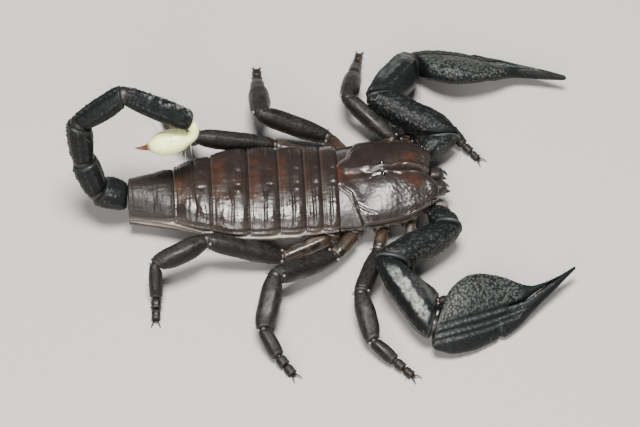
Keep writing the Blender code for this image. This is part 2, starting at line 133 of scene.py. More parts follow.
def ringSkin(rings, marks):
    # a capped circle, extruded from ring to ring; the marks go with the points
    shape = bmesh.new()
    layers = [shape.verts.layers.float.new(name) for name in markNames]
    bmesh.ops.create_circle(shape, cap_ends=True, segments=len(rings[0]), radius=1)
    face = shape.faces[:][0]
    inside = []
    for index, (ring, ringMarks) in enumerate(zip(rings, marks)):
        if index:
            made = bmesh.ops.extrude_face_region(shape, geom=[face])
            face = next(item for item in made["geom"] if isinstance(item, bmesh.types.BMFace))
            inside.append(face)
        for vert, point, values in zip(face.verts, ring, ringMarks):
            vert.co = point
            for layer, value in zip(layers, values):
                vert[layer] = value
    bmesh.ops.delete(shape, geom=inside[:-1], context="FACES_ONLY")
    bmesh.ops.recalc_face_normals(shape, faces=shape.faces[:])
    return shape


def carve(shape, relief):
    # moves each point along its normal; relief gives depth, grain, warmth and polish
    layers = [shape.verts.layers.float[name] for name in markNames]
    shape.normal_update()
    moves = [(vert, relief(vert.co, *(vert[layer] for layer in layers[:3]))) for vert in shape.verts]
    for vert, (depth, *looks) in moves:
        vert.co += vert.normal * depth
        for layer, value in zip(layers[3:], looks):
            vert[layer] = clamped(value)


def finishPiece(name, shapes, finishNames, replaced=()):
    # shapes are (bmesh, number of its finish); they become one piece in the fixed frame
    whole = bmesh.new()
    for shape, finish in shapes:
        for face in shape.faces:
            face.material_index = finish
            face.smooth = True
        part = bpy.data.meshes.new("part")
        shape.to_mesh(part)
        shape.free()
        whole.from_mesh(part)
        bpy.data.meshes.remove(part)
    bmesh.ops.transform(whole, matrix=toFrame, verts=whole.verts[:])
    mesh = bpy.data.meshes.new(name)
    whole.to_mesh(mesh)
    whole.free()
    for finish in finishNames:
        mesh.materials.append(finishes[finish])
    piece = bpy.data.objects.new(name, mesh)
    bpy.context.scene.collection.objects.link(piece)
    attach(piece, "root")
    if replaced:
        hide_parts(*replaced)


def roundSection(count, power=2):
    places = []
    for index in range(count):
        turn = 2 * math.pi * index / count
        across, up = math.cos(turn), math.sin(turn)
        places.append((
            math.copysign(abs(across) ** (2 / power), across),
            math.copysign(abs(up) ** (2 / power), up),
        ))
    return places


def corneredSection(corners, count, softening):
    # a polygon's outline in equal steps, its corners then worn round
    closed = [*corners, corners[0]]
    runs = [math.dist(a, b) for a, b in zip(closed, closed[1:])]
    places = []
    for index in range(count):
        left = sum(runs) * index / count
        for (a, b), run in zip(zip(closed, closed[1:]), runs):
            if left <= run:
                share = left / run
                places.append((a[0] + (b[0] - a[0]) * share, a[1] + (b[1] - a[1]) * share))
                break
            left -= run
    for _ in range(softening):
        around = zip(places[-1:] + places[:-1], places, places[1:] + places[:1])
        places = [tuple((a[k] + 2 * b[k] + c[k]) / 4 for k in (0, 1)) for a, b, c in around]
    return places


def direction(heading, pitch):
    heading, pitch = math.radians(heading), math.radians(pitch)
    level = math.cos(pitch)
    return Vector((level * math.cos(heading), level * math.sin(heading), math.sin(pitch)))


def sideways(along, roll=0):
    side = Vector((0, 0, 1)).cross(along).normalized()
    angle = math.radians(roll)
    return side * math.cos(angle) + along.cross(side) * math.sin(angle)


def limbPlan(start, end, side, halfAt, section, outward=1, leans=None):
    # halfAt gives (half width, half height, shift sideways) at a share of the length;
    # leans are the normals of the joint planes that end it
    along = (end - start).normalized()
    return {
        "start": start, "end": end, "along": along, "side": side, "up": along.cross(side),
        "length": (end - start).length, "halfAt": halfAt, "section": section, "outward": outward,
        "leans": leans or (along, along),
    }


def limbPoint(plan, share, place):
    # a place of the section, carried along the limb from one joint plane to the other
    halfWidth, halfHeight, shift = plan["halfAt"](share)
    along, (rootLean, endLean) = plan["along"], plan["leans"]
    offset = plan["side"] * (halfWidth * place[0] + shift) + plan["up"] * (halfHeight * place[1])
    first = -offset.dot(rootLean) / along.dot(rootLean)
    last = plan["length"] - offset.dot(endLean) / along.dot(endLean)
    return plan["start"] + offset + along * (first + (last - first) * share)


def waysBetween(joints):
    return [(end - start).normalized() for start, end in zip(joints, joints[1:])]


def jointPlans(joints, acrossWays, halves, section, lead=None, follow=None, outward=1, closing=1):
    # one plan from joint to joint; the planes between them halve the bends, or nearly so
    ways = waysBetween(joints)
    around = [lead or ways[0], *ways, follow or ways[-1]]
    bends = [(before + after).normalized() for before, after in zip(around, around[1:])]
    plans = []
    for index, way in enumerate(ways):
        start = joints[index] + way * (gap / 2)
        end = joints[index + 1] - way * (gap / 2)
        leans = tuple(way.lerp(bend, closing).normalized() for bend in bends[index:index + 2])
        plans.append(limbPlan(start, end, acrossWays[index], halves[index], section, outward, leans))
    return plans


def limbShape(plan, spacing, relief=None):
    # rings stand closer together towards the two ends
    steps = max(8, round(plan["length"] / spacing))
    rings, marks = [], []
    for index in range(steps + 1):
        share = index / steps
        share = (share + (1 - math.cos(math.pi * share)) / 2) / 2
        rings.append([limbPoint(plan, share, place) for place in plan["section"]])
        distance = share * plan["length"]
        marks.append([(distance, place[0] * plan["outward"], place[1]) for place in plan["section"]])
    shape = ringSkin(rings, marks)
    if relief:
        carve(shape, relief)
    return shape


def pathShape(points, radii, count=12, flatness=1):
    # a tapering tube through the points
    rings, marks = [], []
    for index, (point, radius) in enumerate(zip(points, radii)):
        before, after = points[max(index - 1, 0)], points[min(index + 1, len(points) - 1)]
        along = (after - before).normalized()
        side = sideways(along)
        up = along.cross(side)
        places = roundSection(count)
        rings.append([point + side * (radius * a) + up * (radius * flatness * b) for a, b in places])
        marks.append([(index, a, b) for a, b in places])
    return ringSkin(rings, marks)


def ballShape(centre, radius, stretch=(1, 1, 1), rings=10):
    shape = bmesh.new()
    for name in markNames:
        shape.verts.layers.float.new(name)
    bmesh.ops.create_uvsphere(shape, u_segments=2 * rings, v_segments=rings, radius=radius)
    bmesh.ops.transform(shape, matrix=Matrix.Diagonal((*stretch, 1)), verts=shape.verts[:])
    bmesh.ops.translate(shape, vec=centre, verts=shape.verts[:])
    return shape


def arcPoints(start, middle, end, count):
    # a bend from start to end that leans towards the middle point
    shares = [index / (count - 1) for index in range(count)]
    return [start * (1 - t) ** 2 + middle * (2 * t * (1 - t)) + end * t ** 2 for t in shares]


# finishes

def addNode(tree, kind, inputs=None, **settings):
    node = tree.nodes.new(kind)
    for name, value in settings.items():
        setattr(node, name, value)
    for name, value in (inputs or {}).items():
        if isinstance(value, bpy.types.NodeSocket):
            tree.links.new(value, node.inputs[name])
        else:
            node.inputs[name].default_value = value
    return node


def makeGroup(name, inputs, outputs):
    tree = bpy.data.node_groups.new(name, "ShaderNodeTree")
    for title, value in inputs:
        kind = "NodeSocketColor" if isinstance(value, tuple) else "NodeSocketFloat"
        tree.interface.new_socket(title, in_out="INPUT", socket_type=kind).default_value = value
    for title, kind in outputs:
        tree.interface.new_socket(title, in_out="OUTPUT", socket_type=kind)
    return tree, addNode(tree, "NodeGroupInput").outputs, addNode(tree, "NodeGroupOutput")


def makeCuticleGroup():
    # fine leathery pits and slow mottling, as every plate of the shell has
    tree, given, result = makeGroup(
        "cuticleGrain",
        (("pitsPerMetre", 9000.0), ("mottlePerMetre", 700.0), ("pitShare", 0.5)),
        (("height", "NodeSocketFloat"), ("mottle", "NodeSocketFloat")),
    )
    place = addNode(tree, "ShaderNodeTexCoord").outputs["Object"]
    fine = addNode(tree, "ShaderNodeTexNoise", {
        "Vector": place, "Scale": given["pitsPerMetre"], "Detail": 3.0})
    cells = addNode(tree, "ShaderNodeTexVoronoi", {"Vector": place, "Scale": given["pitsPerMetre"]})
    both = addNode(tree, "ShaderNodeMix", {
        "Factor": given["pitShare"], "A": fine.outputs["Fac"], "B": cells.outputs["Distance"]})
    slow = addNode(tree, "ShaderNodeTexNoise", {
        "Vector": place, "Scale": given["mottlePerMetre"], "Detail": 4.0, "Roughness": 0.6})
    tree.links.new(both.outputs[0], result.inputs["height"])
    tree.links.new(slow.outputs["Fac"], result.inputs["mottle"])
    return tree


def makePaleTintAndHighlightGroup():
    # lifts granule tops, keels and rims towards a paler colour, partly their own tint and partly painted
    # highlight, lays the warm tint, on the patella a painted highlight stripe, and makes polished places
    # smoother
    tree, given, result = makeGroup(
        "paleTintAndHighlightColour",
        (("base", (0.02, 0.02, 0.02, 1)), ("paleTintAndHighlight", (0.1, 0.1, 0.1, 1)), ("warmTintAndPaintedStripe", (0.1, 0.03, 0.01, 1)),
         ("mottle", 0.5), ("mottleDepth", 0.5), ("smoothest", 0.2), ("roughest", 0.4)),
        (("colour", "NodeSocketColor"), ("roughness", "NodeSocketFloat")),
    )
    grain, tintAndStripeShare, polish = (addNode(tree, "ShaderNodeAttribute", attribute_name=name).outputs["Fac"]
                             for name in ("grain", "warmTintAndPaintedStripe", "polish"))
    tops = addNode(tree, "ShaderNodeMix", data_type="RGBA")
    tinted = addNode(tree, "ShaderNodeMix", data_type="RGBA")
    wires = (
        (grain, tops, 0), (given["base"], tops, 6), (given["paleTintAndHighlight"], tops, 7),
        (tintAndStripeShare, tinted, 0), (tops.outputs[2], tinted, 6), (given["warmTintAndPaintedStripe"], tinted, 7),
    )
    for source, node, number in wires:
        tree.links.new(source, node.inputs[number])
    shade = addNode(tree, "ShaderNodeMath", {0: given["mottle"], 1: given["mottleDepth"]},
                    operation="MULTIPLY")
    lift = addNode(tree, "ShaderNodeMath", {0: 1.25, 1: shade.outputs[0]}, operation="SUBTRACT")
    dark = addNode(tree, "ShaderNodeHueSaturation", {"Value": lift.outputs[0], "Color": tinted.outputs[2]})
    tree.links.new(dark.outputs["Color"], result.inputs["colour"])
    plain = addNode(tree, "ShaderNodeMapRange", {
        "Value": given["mottle"], "From Min": 0.25, "From Max": 0.75,
        "To Min": given["smoothest"], "To Max": given["roughest"]})
    eased = addNode(tree, "ShaderNodeMapRange", {"Value": polish, "To Min": 1.0, "To Max": 0.55})
    rough = addNode(tree, "ShaderNodeMath", {0: plain.outputs[0], 1: eased.outputs[0]}, operation="MULTIPLY")
    tree.links.new(rough.outputs[0], result.inputs["roughness"])
    return tree


cuticleGroup = makeCuticleGroup()
paleTintAndHighlightGroup = makePaleTintAndHighlightGroup()


def makeFinish(name, ownLook):
    # one kind of cuticle: its colours, gloss, pits and bump
    look = {**commonLook, **ownLook}
    finish = bpy.data.materials.new(name)
    finish.use_nodes = True
    tree = finish.node_tree
    shader = tree.nodes["Principled BSDF"]
    grain = addNode(tree, "ShaderNodeGroup", node_tree=cuticleGroup)
    for title in ("pitsPerMetre", "mottlePerMetre", "pitShare"):
        grain.inputs[title].default_value = look[title]
    colour = addNode(tree, "ShaderNodeGroup", node_tree=paleTintAndHighlightGroup)
    for title in ("base", "paleTintAndHighlight", "warmTintAndPaintedStripe"):
        colour.inputs[title].default_value = (*look[title], 1)
    colour.inputs["mottleDepth"].default_value = look["mottleDepth"]
    colour.inputs["smoothest"].default_value, colour.inputs["roughest"].default_value = look["roughness"]
    tree.links.new(grain.outputs["mottle"], colour.inputs["mottle"])
    tree.links.new(colour.outputs["colour"], shader.inputs["Base Color"])
    tree.links.new(colour.outputs["roughness"], shader.inputs["Roughness"])
    bumps = addNode(tree, "ShaderNodeBump", {
        "Strength": look["bumpStrength"], "Distance": look["bumpDepth"] * mm,
        "Height": grain.outputs["height"]})
    tree.links.new(bumps.outputs["Normal"], shader.inputs["Normal"])
    for title, value in look.get("shader", {}).items():
        shader.inputs[title].default_value = value
    return finish


commonLook = {
    "roughness": (0.38, 0.54), "mottleDepth": 0.5, "pitsPerMetre": 5000.0, "mottlePerMetre": 620.0,
    "pitShare": 0.3, "bumpStrength": 0.3, "bumpDepth": 0.04,
}
finishLooks = {
    # its pale colour is partly painted highlight, on the carapace's crests, ridges and rim and the tergites'
    # lips and rear beads
    "glossyBrownShell": {
        "base": (0.0165, 0.0115, 0.0096), "paleTintAndHighlight": (0.12, 0.096, 0.084), "warmTintAndPaintedStripe": (0.055, 0.02, 0.0092),
        "roughness": (0.33, 0.47), "mottleDepth": 0.6, "pitsPerMetre": 5200.0,
        "pitShare": 0.4, "bumpStrength": 0.35,
        "shader": {"Coat Weight": 0.16, "Coat Roughness": 0.26, "Specular IOR Level": 0.5},
    },
    "dullBrownShell": {
        "base": (0.0135, 0.0098, 0.0082), "paleTintAndHighlight": (0.09, 0.073, 0.063), "warmTintAndPaintedStripe": (0.04, 0.018, 0.0092),
        "roughness": (0.42, 0.54), "mottleDepth": 0.6, "pitsPerMetre": 5200.0,
        "pitShare": 0.4, "bumpStrength": 0.35,
        "shader": {"Coat Weight": 0.06, "Coat Roughness": 0.3, "Specular IOR Level": 0.34},
    },
    # its pale colour is painted glints on the granules, keels and cobbles of the palps and the tail
    "granularBlackShell": {
        "base": (0.0042, 0.0058, 0.0056), "paleTintAndHighlight": (0.15, 0.16, 0.15), "warmTintAndPaintedStripe": (0.03, 0.014, 0.008),
        "roughness": (0.42, 0.56), "pitsPerMetre": 7000.0, "pitShare": 0.7,
        "shader": {"Coat Weight": 0.02, "Coat Roughness": 0.3, "Specular IOR Level": 0.17},
    },
    # the patellae's shell: its warm colour is a pale grey, a painted highlight stripe laid on the roof
    "silveredBlackShell": {
        "base": (0.0045, 0.006, 0.0057), "paleTintAndHighlight": (0.15, 0.16, 0.15), "warmTintAndPaintedStripe": (0.26, 0.275, 0.265),
        "roughness": (0.36, 0.5), "pitsPerMetre": 7000.0, "pitShare": 0.7,
        "shader": {"Coat Weight": 0.03, "Coat Roughness": 0.3, "Specular IOR Level": 0.2},
    },
    "satinLegShell": {
        "base": (0.007, 0.0064, 0.0058), "paleTintAndHighlight": (0.05, 0.047, 0.044), "warmTintAndPaintedStripe": (0.028, 0.014, 0.0085),
        "roughness": (0.48, 0.62), "mottleDepth": 0.6, "pitsPerMetre": 6400.0, "mottlePerMetre": 700.0,
        "pitShare": 0.6, "bumpStrength": 0.4, "bumpDepth": 0.045,
        "shader": {"Specular IOR Level": 0.24},
    },
    # its pale colour is laid on the pleats' crests, painted shade between them
    "pleatedMembrane": {
        "base": (0.12, 0.098, 0.082), "paleTintAndHighlight": (0.36, 0.31, 0.27), "warmTintAndPaintedStripe": (0.05, 0.028, 0.019),
        "pitsPerMetre": 6000.0, "mottlePerMetre": 900.0, "bumpStrength": 0.4,
        "shader": {"Subsurface Weight": 0.15, "Subsurface Scale": 0.0004},
    },
    "jointMembrane": {
        "base": (0.011, 0.0078, 0.0062), "paleTintAndHighlight": (0.05, 0.038, 0.031), "warmTintAndPaintedStripe": (0.026, 0.012, 0.008),
        "pitsPerMetre": 6000.0, "mottlePerMetre": 900.0, "bumpStrength": 0.5, "bumpDepth": 0.05,
        "shader": {"Subsurface Weight": 0.1, "Subsurface Scale": 0.0003},
    },
    "paleCondyle": {
        "base": (0.2, 0.17, 0.15), "paleTintAndHighlight": (0.4, 0.36, 0.32), "warmTintAndPaintedStripe": (0.12, 0.05, 0.035),
        "roughness": (0.3, 0.42), "mottleDepth": 0.7, "mottlePerMetre": 1400.0, "bumpDepth": 0.03,
        "shader": {"Subsurface Weight": 0.1, "Subsurface Scale": 0.0003},
    },
    "amberCoxa": {
        "base": (0.02, 0.0145, 0.0105), "paleTintAndHighlight": (0.15, 0.125, 0.095), "warmTintAndPaintedStripe": (0.046, 0.027, 0.0155),
        "roughness": (0.28, 0.42), "mottleDepth": 0.9, "mottlePerMetre": 850.0,
        "pitShare": 0.4, "bumpStrength": 0.4, "bumpDepth": 0.05,
        "shader": {"Coat Weight": 0.2, "Coat Roughness": 0.25, "Subsurface Weight": 0.08,
                   "Subsurface Scale": 0.0005},
    },
    "creamTelson": {
        "base": (0.82, 0.88, 0.3), "paleTintAndHighlight": (0.95, 0.99, 0.48), "warmTintAndPaintedStripe": (0.1, 0.03, 0.012),
        "roughness": (0.3, 0.42), "mottleDepth": 0.16, "pitsPerMetre": 4200.0, "mottlePerMetre": 420.0,
        "bumpStrength": 0.2,
        "shader": {"Coat Weight": 0.12, "Coat Roughness": 0.25, "Subsurface Weight": 0.1,
                   "Subsurface Scale": 0.0004},
    },
    "polishedEye": {
        "base": (0.003, 0.003, 0.003), "paleTintAndHighlight": (0.01, 0.01, 0.01), "warmTintAndPaintedStripe": (0.01, 0.005, 0.002),
        "roughness": (0.04, 0.08), "mottleDepth": 0.3, "pitsPerMetre": 3000.0, "mottlePerMetre": 900.0,
        "pitShare": 0.1, "bumpStrength": 0.02, "bumpDepth": 0.01,
        "shader": {"Coat Weight": 1.0, "Coat Roughness": 0.03},
    },
    "hornClaw": {
        "base": (0.018, 0.009, 0.006), "paleTintAndHighlight": (0.055, 0.028, 0.016), "warmTintAndPaintedStripe": (0.07, 0.03, 0.013),
        "roughness": (0.24, 0.36), "mottleDepth": 0.4, "mottlePerMetre": 800.0,
        "bumpStrength": 0.2, "bumpDepth": 0.03,
        "shader": {"Coat Weight": 0.25, "Coat Roughness": 0.2},
    },
    "rustBristle": {
        "base": (0.11, 0.06, 0.034), "paleTintAndHighlight": (0.25, 0.15, 0.09), "warmTintAndPaintedStripe": (0.16, 0.065, 0.028),
        "roughness": (0.3, 0.42), "pitsPerMetre": 3000.0, "mottlePerMetre": 500.0,
        "pitShare": 0.2, "bumpStrength": 0.1, "bumpDepth": 0.01,
        "shader": {"Coat Weight": 0.2},
    },
    "paleBristle": {
        "base": (0.62, 0.48, 0.33), "paleTintAndHighlight": (0.8, 0.7, 0.55), "warmTintAndPaintedStripe": (0.4, 0.2, 0.08),
        "roughness": (0.28, 0.4), "mottleDepth": 0.4, "pitsPerMetre": 3000.0, "mottlePerMetre": 500.0,
        "pitShare": 0.2, "bumpStrength": 0.1, "bumpDepth": 0.01,
        "shader": {"Coat Weight": 0.2},
    },
}
finishes = {name: makeFinish(name, look) for name, look in finishLooks.items()}
print("finishes made:", len(finishes))


# trunk: the outline that every plate follows

trunk = {
    "tergiteLengths": (2.1, 2.1, 3.2, 3.7, 4.6, 4.7, 5.6),
    "halfWidths": ((0, 6.5), (11, 6.75), (26.5, 2.75)),
    "rimHeight": 4.1, "rise": 2.55, "bellyHeight": 1.35, "plateThickness": 0.45,
}
trunkLength = sum(trunk["tergiteLengths"])


def tergiteFront(number):
    return -sum(trunk["tergiteLengths"][:number - 1])


def trunkWidthAt(x):
    return throughPoints(-x, trunk["halfWidths"])


def trunkRimAt(x):
    return trunk["rimHeight"] - 0.8 * smoothStep(-x, 18, 26)


def trunkRiseAt(x):
    return trunk["rise"] - 1.0 * smoothStep(-x, 14, 26.5) + 1.15 * smoothStep(-x, 18, 26)


def trunkBellyAt(x):
    return trunk["bellyHeight"] + 0.5 * smoothStep(-x, 20, 26.5)


# tergites

tergites = {
    "ringSpacing": 0.085, "rearRings": (0.988, 0.996, 1), "pointsAcross": 171, "pointsUnder": 21,
    "underlap": 0.15, "rearLift": 0.14, "scallop": 0.2, "groovePlace": 0.47, "grooveDepth": 0.075,
    "swellPerLength": 0.009, "lipHeight": 0.08, "hemHeight": 0.035, "scarPlace": (0.27, 1.15),
    "scarDepth": 0.1, "knobHeight": 0.08, "wrinkleHeights": (0.034, 0.018), "pitDepth": 0.02,
    "bandPlaces": (0.54, 0.76, 0.9, 0.96),
    "bandStrength": (0.22, 0.33, 0.55, 0.62, 0.62, 0.55, 0.1),
}


def tergiteRelief(number, share, across, edge, point):
    # height above the plain arch, then grain, red-brown tint and polish
    plan = tergites
    length = trunk["tergiteLengths"][number - 1]
    inner = 1 - smoothStep(abs(across), 0.88, 0.985)
    last = number == len(trunk["tergiteLengths"])
    smooth = 0.35 if last else 1
    groove = plan["groovePlace"] + 0.03 * math.cos(across * 5) + 0.05 * unevenness(point, 2.2)
    fold = ridge((share - groove) * length, 0, 0.16)
    height = -plan["grooveDepth"] * fold * inner * smooth
    for start, end in ((0.1, groove), (groove, 0.93)):
        if start < share < end:
            swell = math.sin(math.pi * (share - start) / (end - start))
            height += plan["swellPerLength"] * length * swell * inner
    rear = (1 - share) * length
    hem = ridge(rear, 0.2, 0.09)
    height += plan["hemHeight"] * hem - plan["hemHeight"] * ridge(rear, 0.42, 0.1)
    height += plan["lipHeight"] * ridge(edge, 0.1, 0.12) - 0.06 * ridge(edge, 0.42, 0.16)
    scarShare, scarAside = plan["scarPlace"]
    scar = ridge(abs(point.y), scarAside, 0.3) * ridge((share - scarShare) * length, 0, 0.35)
    knob = ridge(abs(point.y), scarAside + 0.62, 0.3) * ridge((share - scarShare - 0.04) * length, 0, 0.36)
    knob *= 0.6 + 1.4 * unevenness(point, 1.9)
    height += (plan["knobHeight"] * knob - plan["scarDepth"] * scar) * smooth
    height += 0.02 * ridge(point.y, 0, 0.25) * inner
    lengthwise = Vector((point.x * 0.55, point.y * 1.5, point.z * 1.5))
    crosswise = Vector((point.x * 2.1, point.y * 0.55, point.z * 0.55))
    coarseWrinkle, fineWrinkle = plan["wrinkleHeights"]
    wrinkles = coarseWrinkle * unevenness(crosswise, 0.7) + fineWrinkle * unevenness(lengthwise, 0.5)
    pits = beads(point, 0.42) * smoothStep(abs(across), 0.7, 0.97)
    fine = beads(point, 0.24)
    height += wrinkles * inner + 0.012 * fine * (1.6 if last else 1) - plan["pitDepth"] * pits
    band = within(share, *plan["bandPlaces"])
    warmTintAndPaintedStripe = band * (1 - smoothStep(abs(across), 0.35, 0.85)) * (0.7 + 0.9 * unevenness(point, 1.1))
    warmTintAndPaintedStripe += 0.35 * (1 - smoothStep(abs(across), 0.2, 0.9)) * max(0, unevenness(point, 2.4))
    warmTintAndPaintedStripe *= plan["bandStrength"][number - 1]
    # the paler colour on the lip, the rear bead and the lower flanks is painted highlight, on the fine
    # granules their tint
    skirt = smoothStep(abs(across), 0.8, 0.97)
    grain = 0.35 * ridge(edge, 0.12, 0.12) + 0.2 * hem + 0.05 * fine + 0.2 * skirt
    polish = 0.5 + 1.2 * unevenness(point, 1.5) - 1.2 * last
    return height, grain, warmTintAndPaintedStripe, polish


def tergiteRing(number, share):
    plan = tergites
    length = trunk["tergiteLengths"][number - 1]
    x = tergiteFront(number) + plan["underlap"] - (length + plan["underlap"] - gap / 2) * share
    lift = plan["rearLift"] * smoothStep(share, 0, 0.25) - 0.16 * (1 - smoothStep(share, 0, 0.1))
    lift -= 0.2 * smoothStep(share, 0.965, 1) ** 2
    width = trunkWidthAt(x) + plan["scallop"] * (math.sin(math.pi * share) - 0.6)
    rise, rim = trunkRiseAt(x), trunkRimAt(x)
    ring, marks = [], []
    for index in range(plan["pointsAcross"]):
        turn = math.pi * index / (plan["pointsAcross"] - 1)
        across, up = math.cos(turn), math.sin(turn)
        plain = Vector((x, width * across, rim + rise * up))
        outward = Vector((0, across * rise, up * width)).normalized()
        height, *looks = tergiteRelief(number, share, across, rise * up, plain)
        low = smoothStep(up, 0.0, 0.05)
        ring.append(plain + outward * (lift + height * low))
        marks.append((share, across, up, *map(clamped, looks)))
    for index in range(plan["pointsUnder"]):
        turn = math.pi * (1 - index / (plan["pointsUnder"] - 1))
        thin = trunk["plateThickness"]
        ring.append(Vector((x, (width - thin) * math.cos(turn), rim + (rise - thin) * math.sin(turn))))
        marks.append((share, math.cos(turn), 0, 0, 0, 0))
    return ring, marks


def buildTergites():
    for number, length in enumerate(trunk["tergiteLengths"], start=1):
        steps = round(length / tergites["ringSpacing"])
        shares = [index / steps for index in range(steps)] + [*tergites["rearRings"]]
        rings, marks = zip(*(tergiteRing(number, share) for share in sorted(shares)))
        shell = "dullBrownShell" if number == len(trunk["tergiteLengths"]) else "glossyBrownShell"
        finishPiece(f"tergite_plate_{number}", [(ringSkin(rings, marks), 0)], [shell],
                    [f"tergite_{number}"])


# sternites and the skin between the plates

sternites = {"first": 3, "ringSpacing": 0.22, "pointsAcross": 41, "spiraclePlace": (0.62, 0.66)}


def sterniteEdgeAt(x):
    return trunkWidthAt(x) - 1.0 + 1.1 * smoothStep(-x, 16, 25)


def sterniteRing(number, share):
    # the outer face looks down; a slit on each side opens the book lungs, but the last has keels
    last = number == len(trunk["tergiteLengths"])
    length = trunk["tergiteLengths"][number - 1]
    x = tergiteFront(number) - gap / 2 - (length - gap) * share
    edge, belly = sterniteEdgeAt(x), trunkBellyAt(x)
    slitShare, slitAside = sternites["spiraclePlace"]
    under, over, marks = [], [], []
    count = sternites["pointsAcross"]
    for index in range(count):
        across = 1 - 2 * index / (count - 1)
        slit = ridge(abs(across) - slitAside, 0, 0.1)
        slit *= ridge((share - slitShare) * length, 0.12 * across, 0.16) * (not last)
        rear = ridge((1 - share) * length, 0.25, 0.12)
        swell = 0.1 * math.sin(math.pi * share) * (1 - across ** 4)
        keel = 0.05 * (ridge(abs(across), 0.35, 0.04) + ridge(abs(across), 0.75, 0.04)) * last
        drop = swell - 0.16 * slit + 0.03 * rear + keel - 0.12 * smoothStep(share, 0.96, 1)
        drop += 0.02 * unevenness(Vector((x, edge * across, 0)), 0.9)
        under.append(Vector((x, edge * across, belly + 0.35 * across ** 4 - min(drop, 0.14))))
        over.append(Vector((x, edge * across * 0.985, belly + 0.35 * across ** 4 + trunk["plateThickness"])))
        warmTintAndPaintedStripe = 0.25 + 0.5 * rear + 0.7 * slit
        marks.append((share, across, -1, 0.15 * rear, min(warmTintAndPaintedStripe, 1), 0.4))
    return under + over[::-1], marks + [(share, 0, 1, 0, 0.3, 0)] * count


def buildSternites():
    for number in range(sternites["first"], len(trunk["tergiteLengths"]) + 1):
        steps = round(trunk["tergiteLengths"][number - 1] / sternites["ringSpacing"])
        rings, marks = zip(*(sterniteRing(number, index / steps) for index in range(steps + 1)))
        finishPiece(f"sternite_plate_{number}", [(ringSkin(rings, marks), 0)],
                    ["glossyBrownShell"], [f"sternite_{number}"])


skin = {
    "ringSpacing": 0.13, "topPoints": 25, "sidePoints": 46, "pleatHeight": 0.11, "pleatSpacing": 0.8,
    "crossFoldHeight": 0.05, "bulge": 0.18, "middleBulge": 0.2,
    # the strip under the carapace's edge
    "stripEnds": (0.1, 9.3), "stripRings": 61, "stripRadius": 0.42, "stripInset": 0.62, "stripHeight": 3.45,
}


def skinSide(x):
    # down one side, from under a tergite's rim to over a sternite's edge
    rim, width, edge = trunkRimAt(x), trunkWidthAt(x), sterniteEdgeAt(x)
    belly = trunkBellyAt(x) + trunk["plateThickness"] + gap + 1.15 * smoothStep(x, -6.4, -4.2)
    flank = rim - belly
    bulge = skin["bulge"] + skin["middleBulge"] * ridge(x, -5, 6)
    corners = (
        (width - 0.55, rim + 0.1), (width - 0.2, rim - 0.06 * flank), (width + bulge, rim - 0.27 * flank),
        (width + bulge - 0.03, rim - 0.48 * flank), (edge + 0.15, belly + 0.44), (edge - 0.4, belly + 0.3),
        (edge * 0.6, belly + 0.06), (0, belly),
    )
    ways = tuple((index, corner[0]) for index, corner in enumerate(corners))
    heights = tuple((index, corner[1]) for index, corner in enumerate(corners))
    places = [7 * index / (skin["sidePoints"] - 1) for index in range(skin["sidePoints"])]
    return [(curveThrough(place, ways), curveThrough(place, heights), place) for place in places]


def skinRing(x):
    ring, marks = [], []
    inset = trunk["plateThickness"] + gap
    width, rise, rim = trunkWidthAt(x), trunkRiseAt(x), trunkRimAt(x)
    for index in range(skin["topPoints"]):
        turn = math.pi * (index + 1) / (skin["topPoints"] + 1)
        ring.append(Vector((x, (width - inset) * math.cos(turn), rim + (rise - inset) * math.sin(turn))))
        marks.append((-x, 0, 1, 0, 0))
    down = skinSide(x)
    ring += [Vector((x, -y, z)) for y, z, place in down]
    marks += [(-x, -place, 0, 0, 0) for y, z, place in down]
    ring += [Vector((x, y, z)) for y, z, place in down[-2::-1]]
    marks += [(-x, place, 0, 0, 0) for y, z, place in down[-2::-1]]
    return ring, marks


def skinRelief(point, along, across, up):
    # long pleats down the flanks, crests paler and hollows darker as painted shade, and a short fold where
    # two plates meet
    if up > 0.5:
        return 0, 0, 0, 0
    place = abs(across)
    flank = within(place, 0.6, 1.4, 4.4, 5.4)
    wander = 0.35 * unevenness(Vector((point.x * 0.5, point.y, point.z)), 2.6)
    pleat = math.sin(2 * math.pi * (point.z / skin["pleatSpacing"] + wander))
    nearest = min(abs(along + tergiteFront(number)) for number in range(1, len(trunk["tergiteLengths"]) + 2))
    fold = ridge(nearest, 0, 0.4)
    depth = skin["pleatHeight"] * (pleat - 0.3) - skin["crossFoldHeight"] * fold
    depth += 0.035 * unevenness(Vector((point.x * 0.7, point.y, point.z)), 0.5)
    # the pleats' crests are paler and their hollows darker: painted shade
    paintedPleatShade = 0.5 + 0.5 * pleat
    return depth * flank, 0.75 * paintedPleatShade * flank, 0.5 * (1 - flank), 0.3


def buildSkin():
    steps = round(trunkLength / skin["ringSpacing"])
    start, end = -gap / 2, gap / 2 - trunkLength
    rings, marks = zip(*(skinRing(start + (end - start) * index / steps) for index in range(steps + 1)))
    trunkSkin = ringSkin(rings, marks)
    carve(trunkSkin, skinRelief)
    shapes = [(trunkSkin, 0)]
    rear, front = skin["stripEnds"]
    count = skin["stripRings"]
    for sign in sides.values():
        places = [rear + (front - rear) * index / (count - 1) for index in range(count)]
        line = [turned(x, (carapaceWidthAt(x) - skin["stripInset"]) * sign, skin["stripHeight"])
                for x in places]
        radii = [skin["stripRadius"] * (1 + 0.16 * math.sin(index * 0.9)) for index in range(count)]
        shapes.append((pathShape(line, radii, 14, 0.85), 0))
    finishPiece("side_skin", shapes, ["pleatedMembrane"], ["abdomen"])


# carapace and eyes

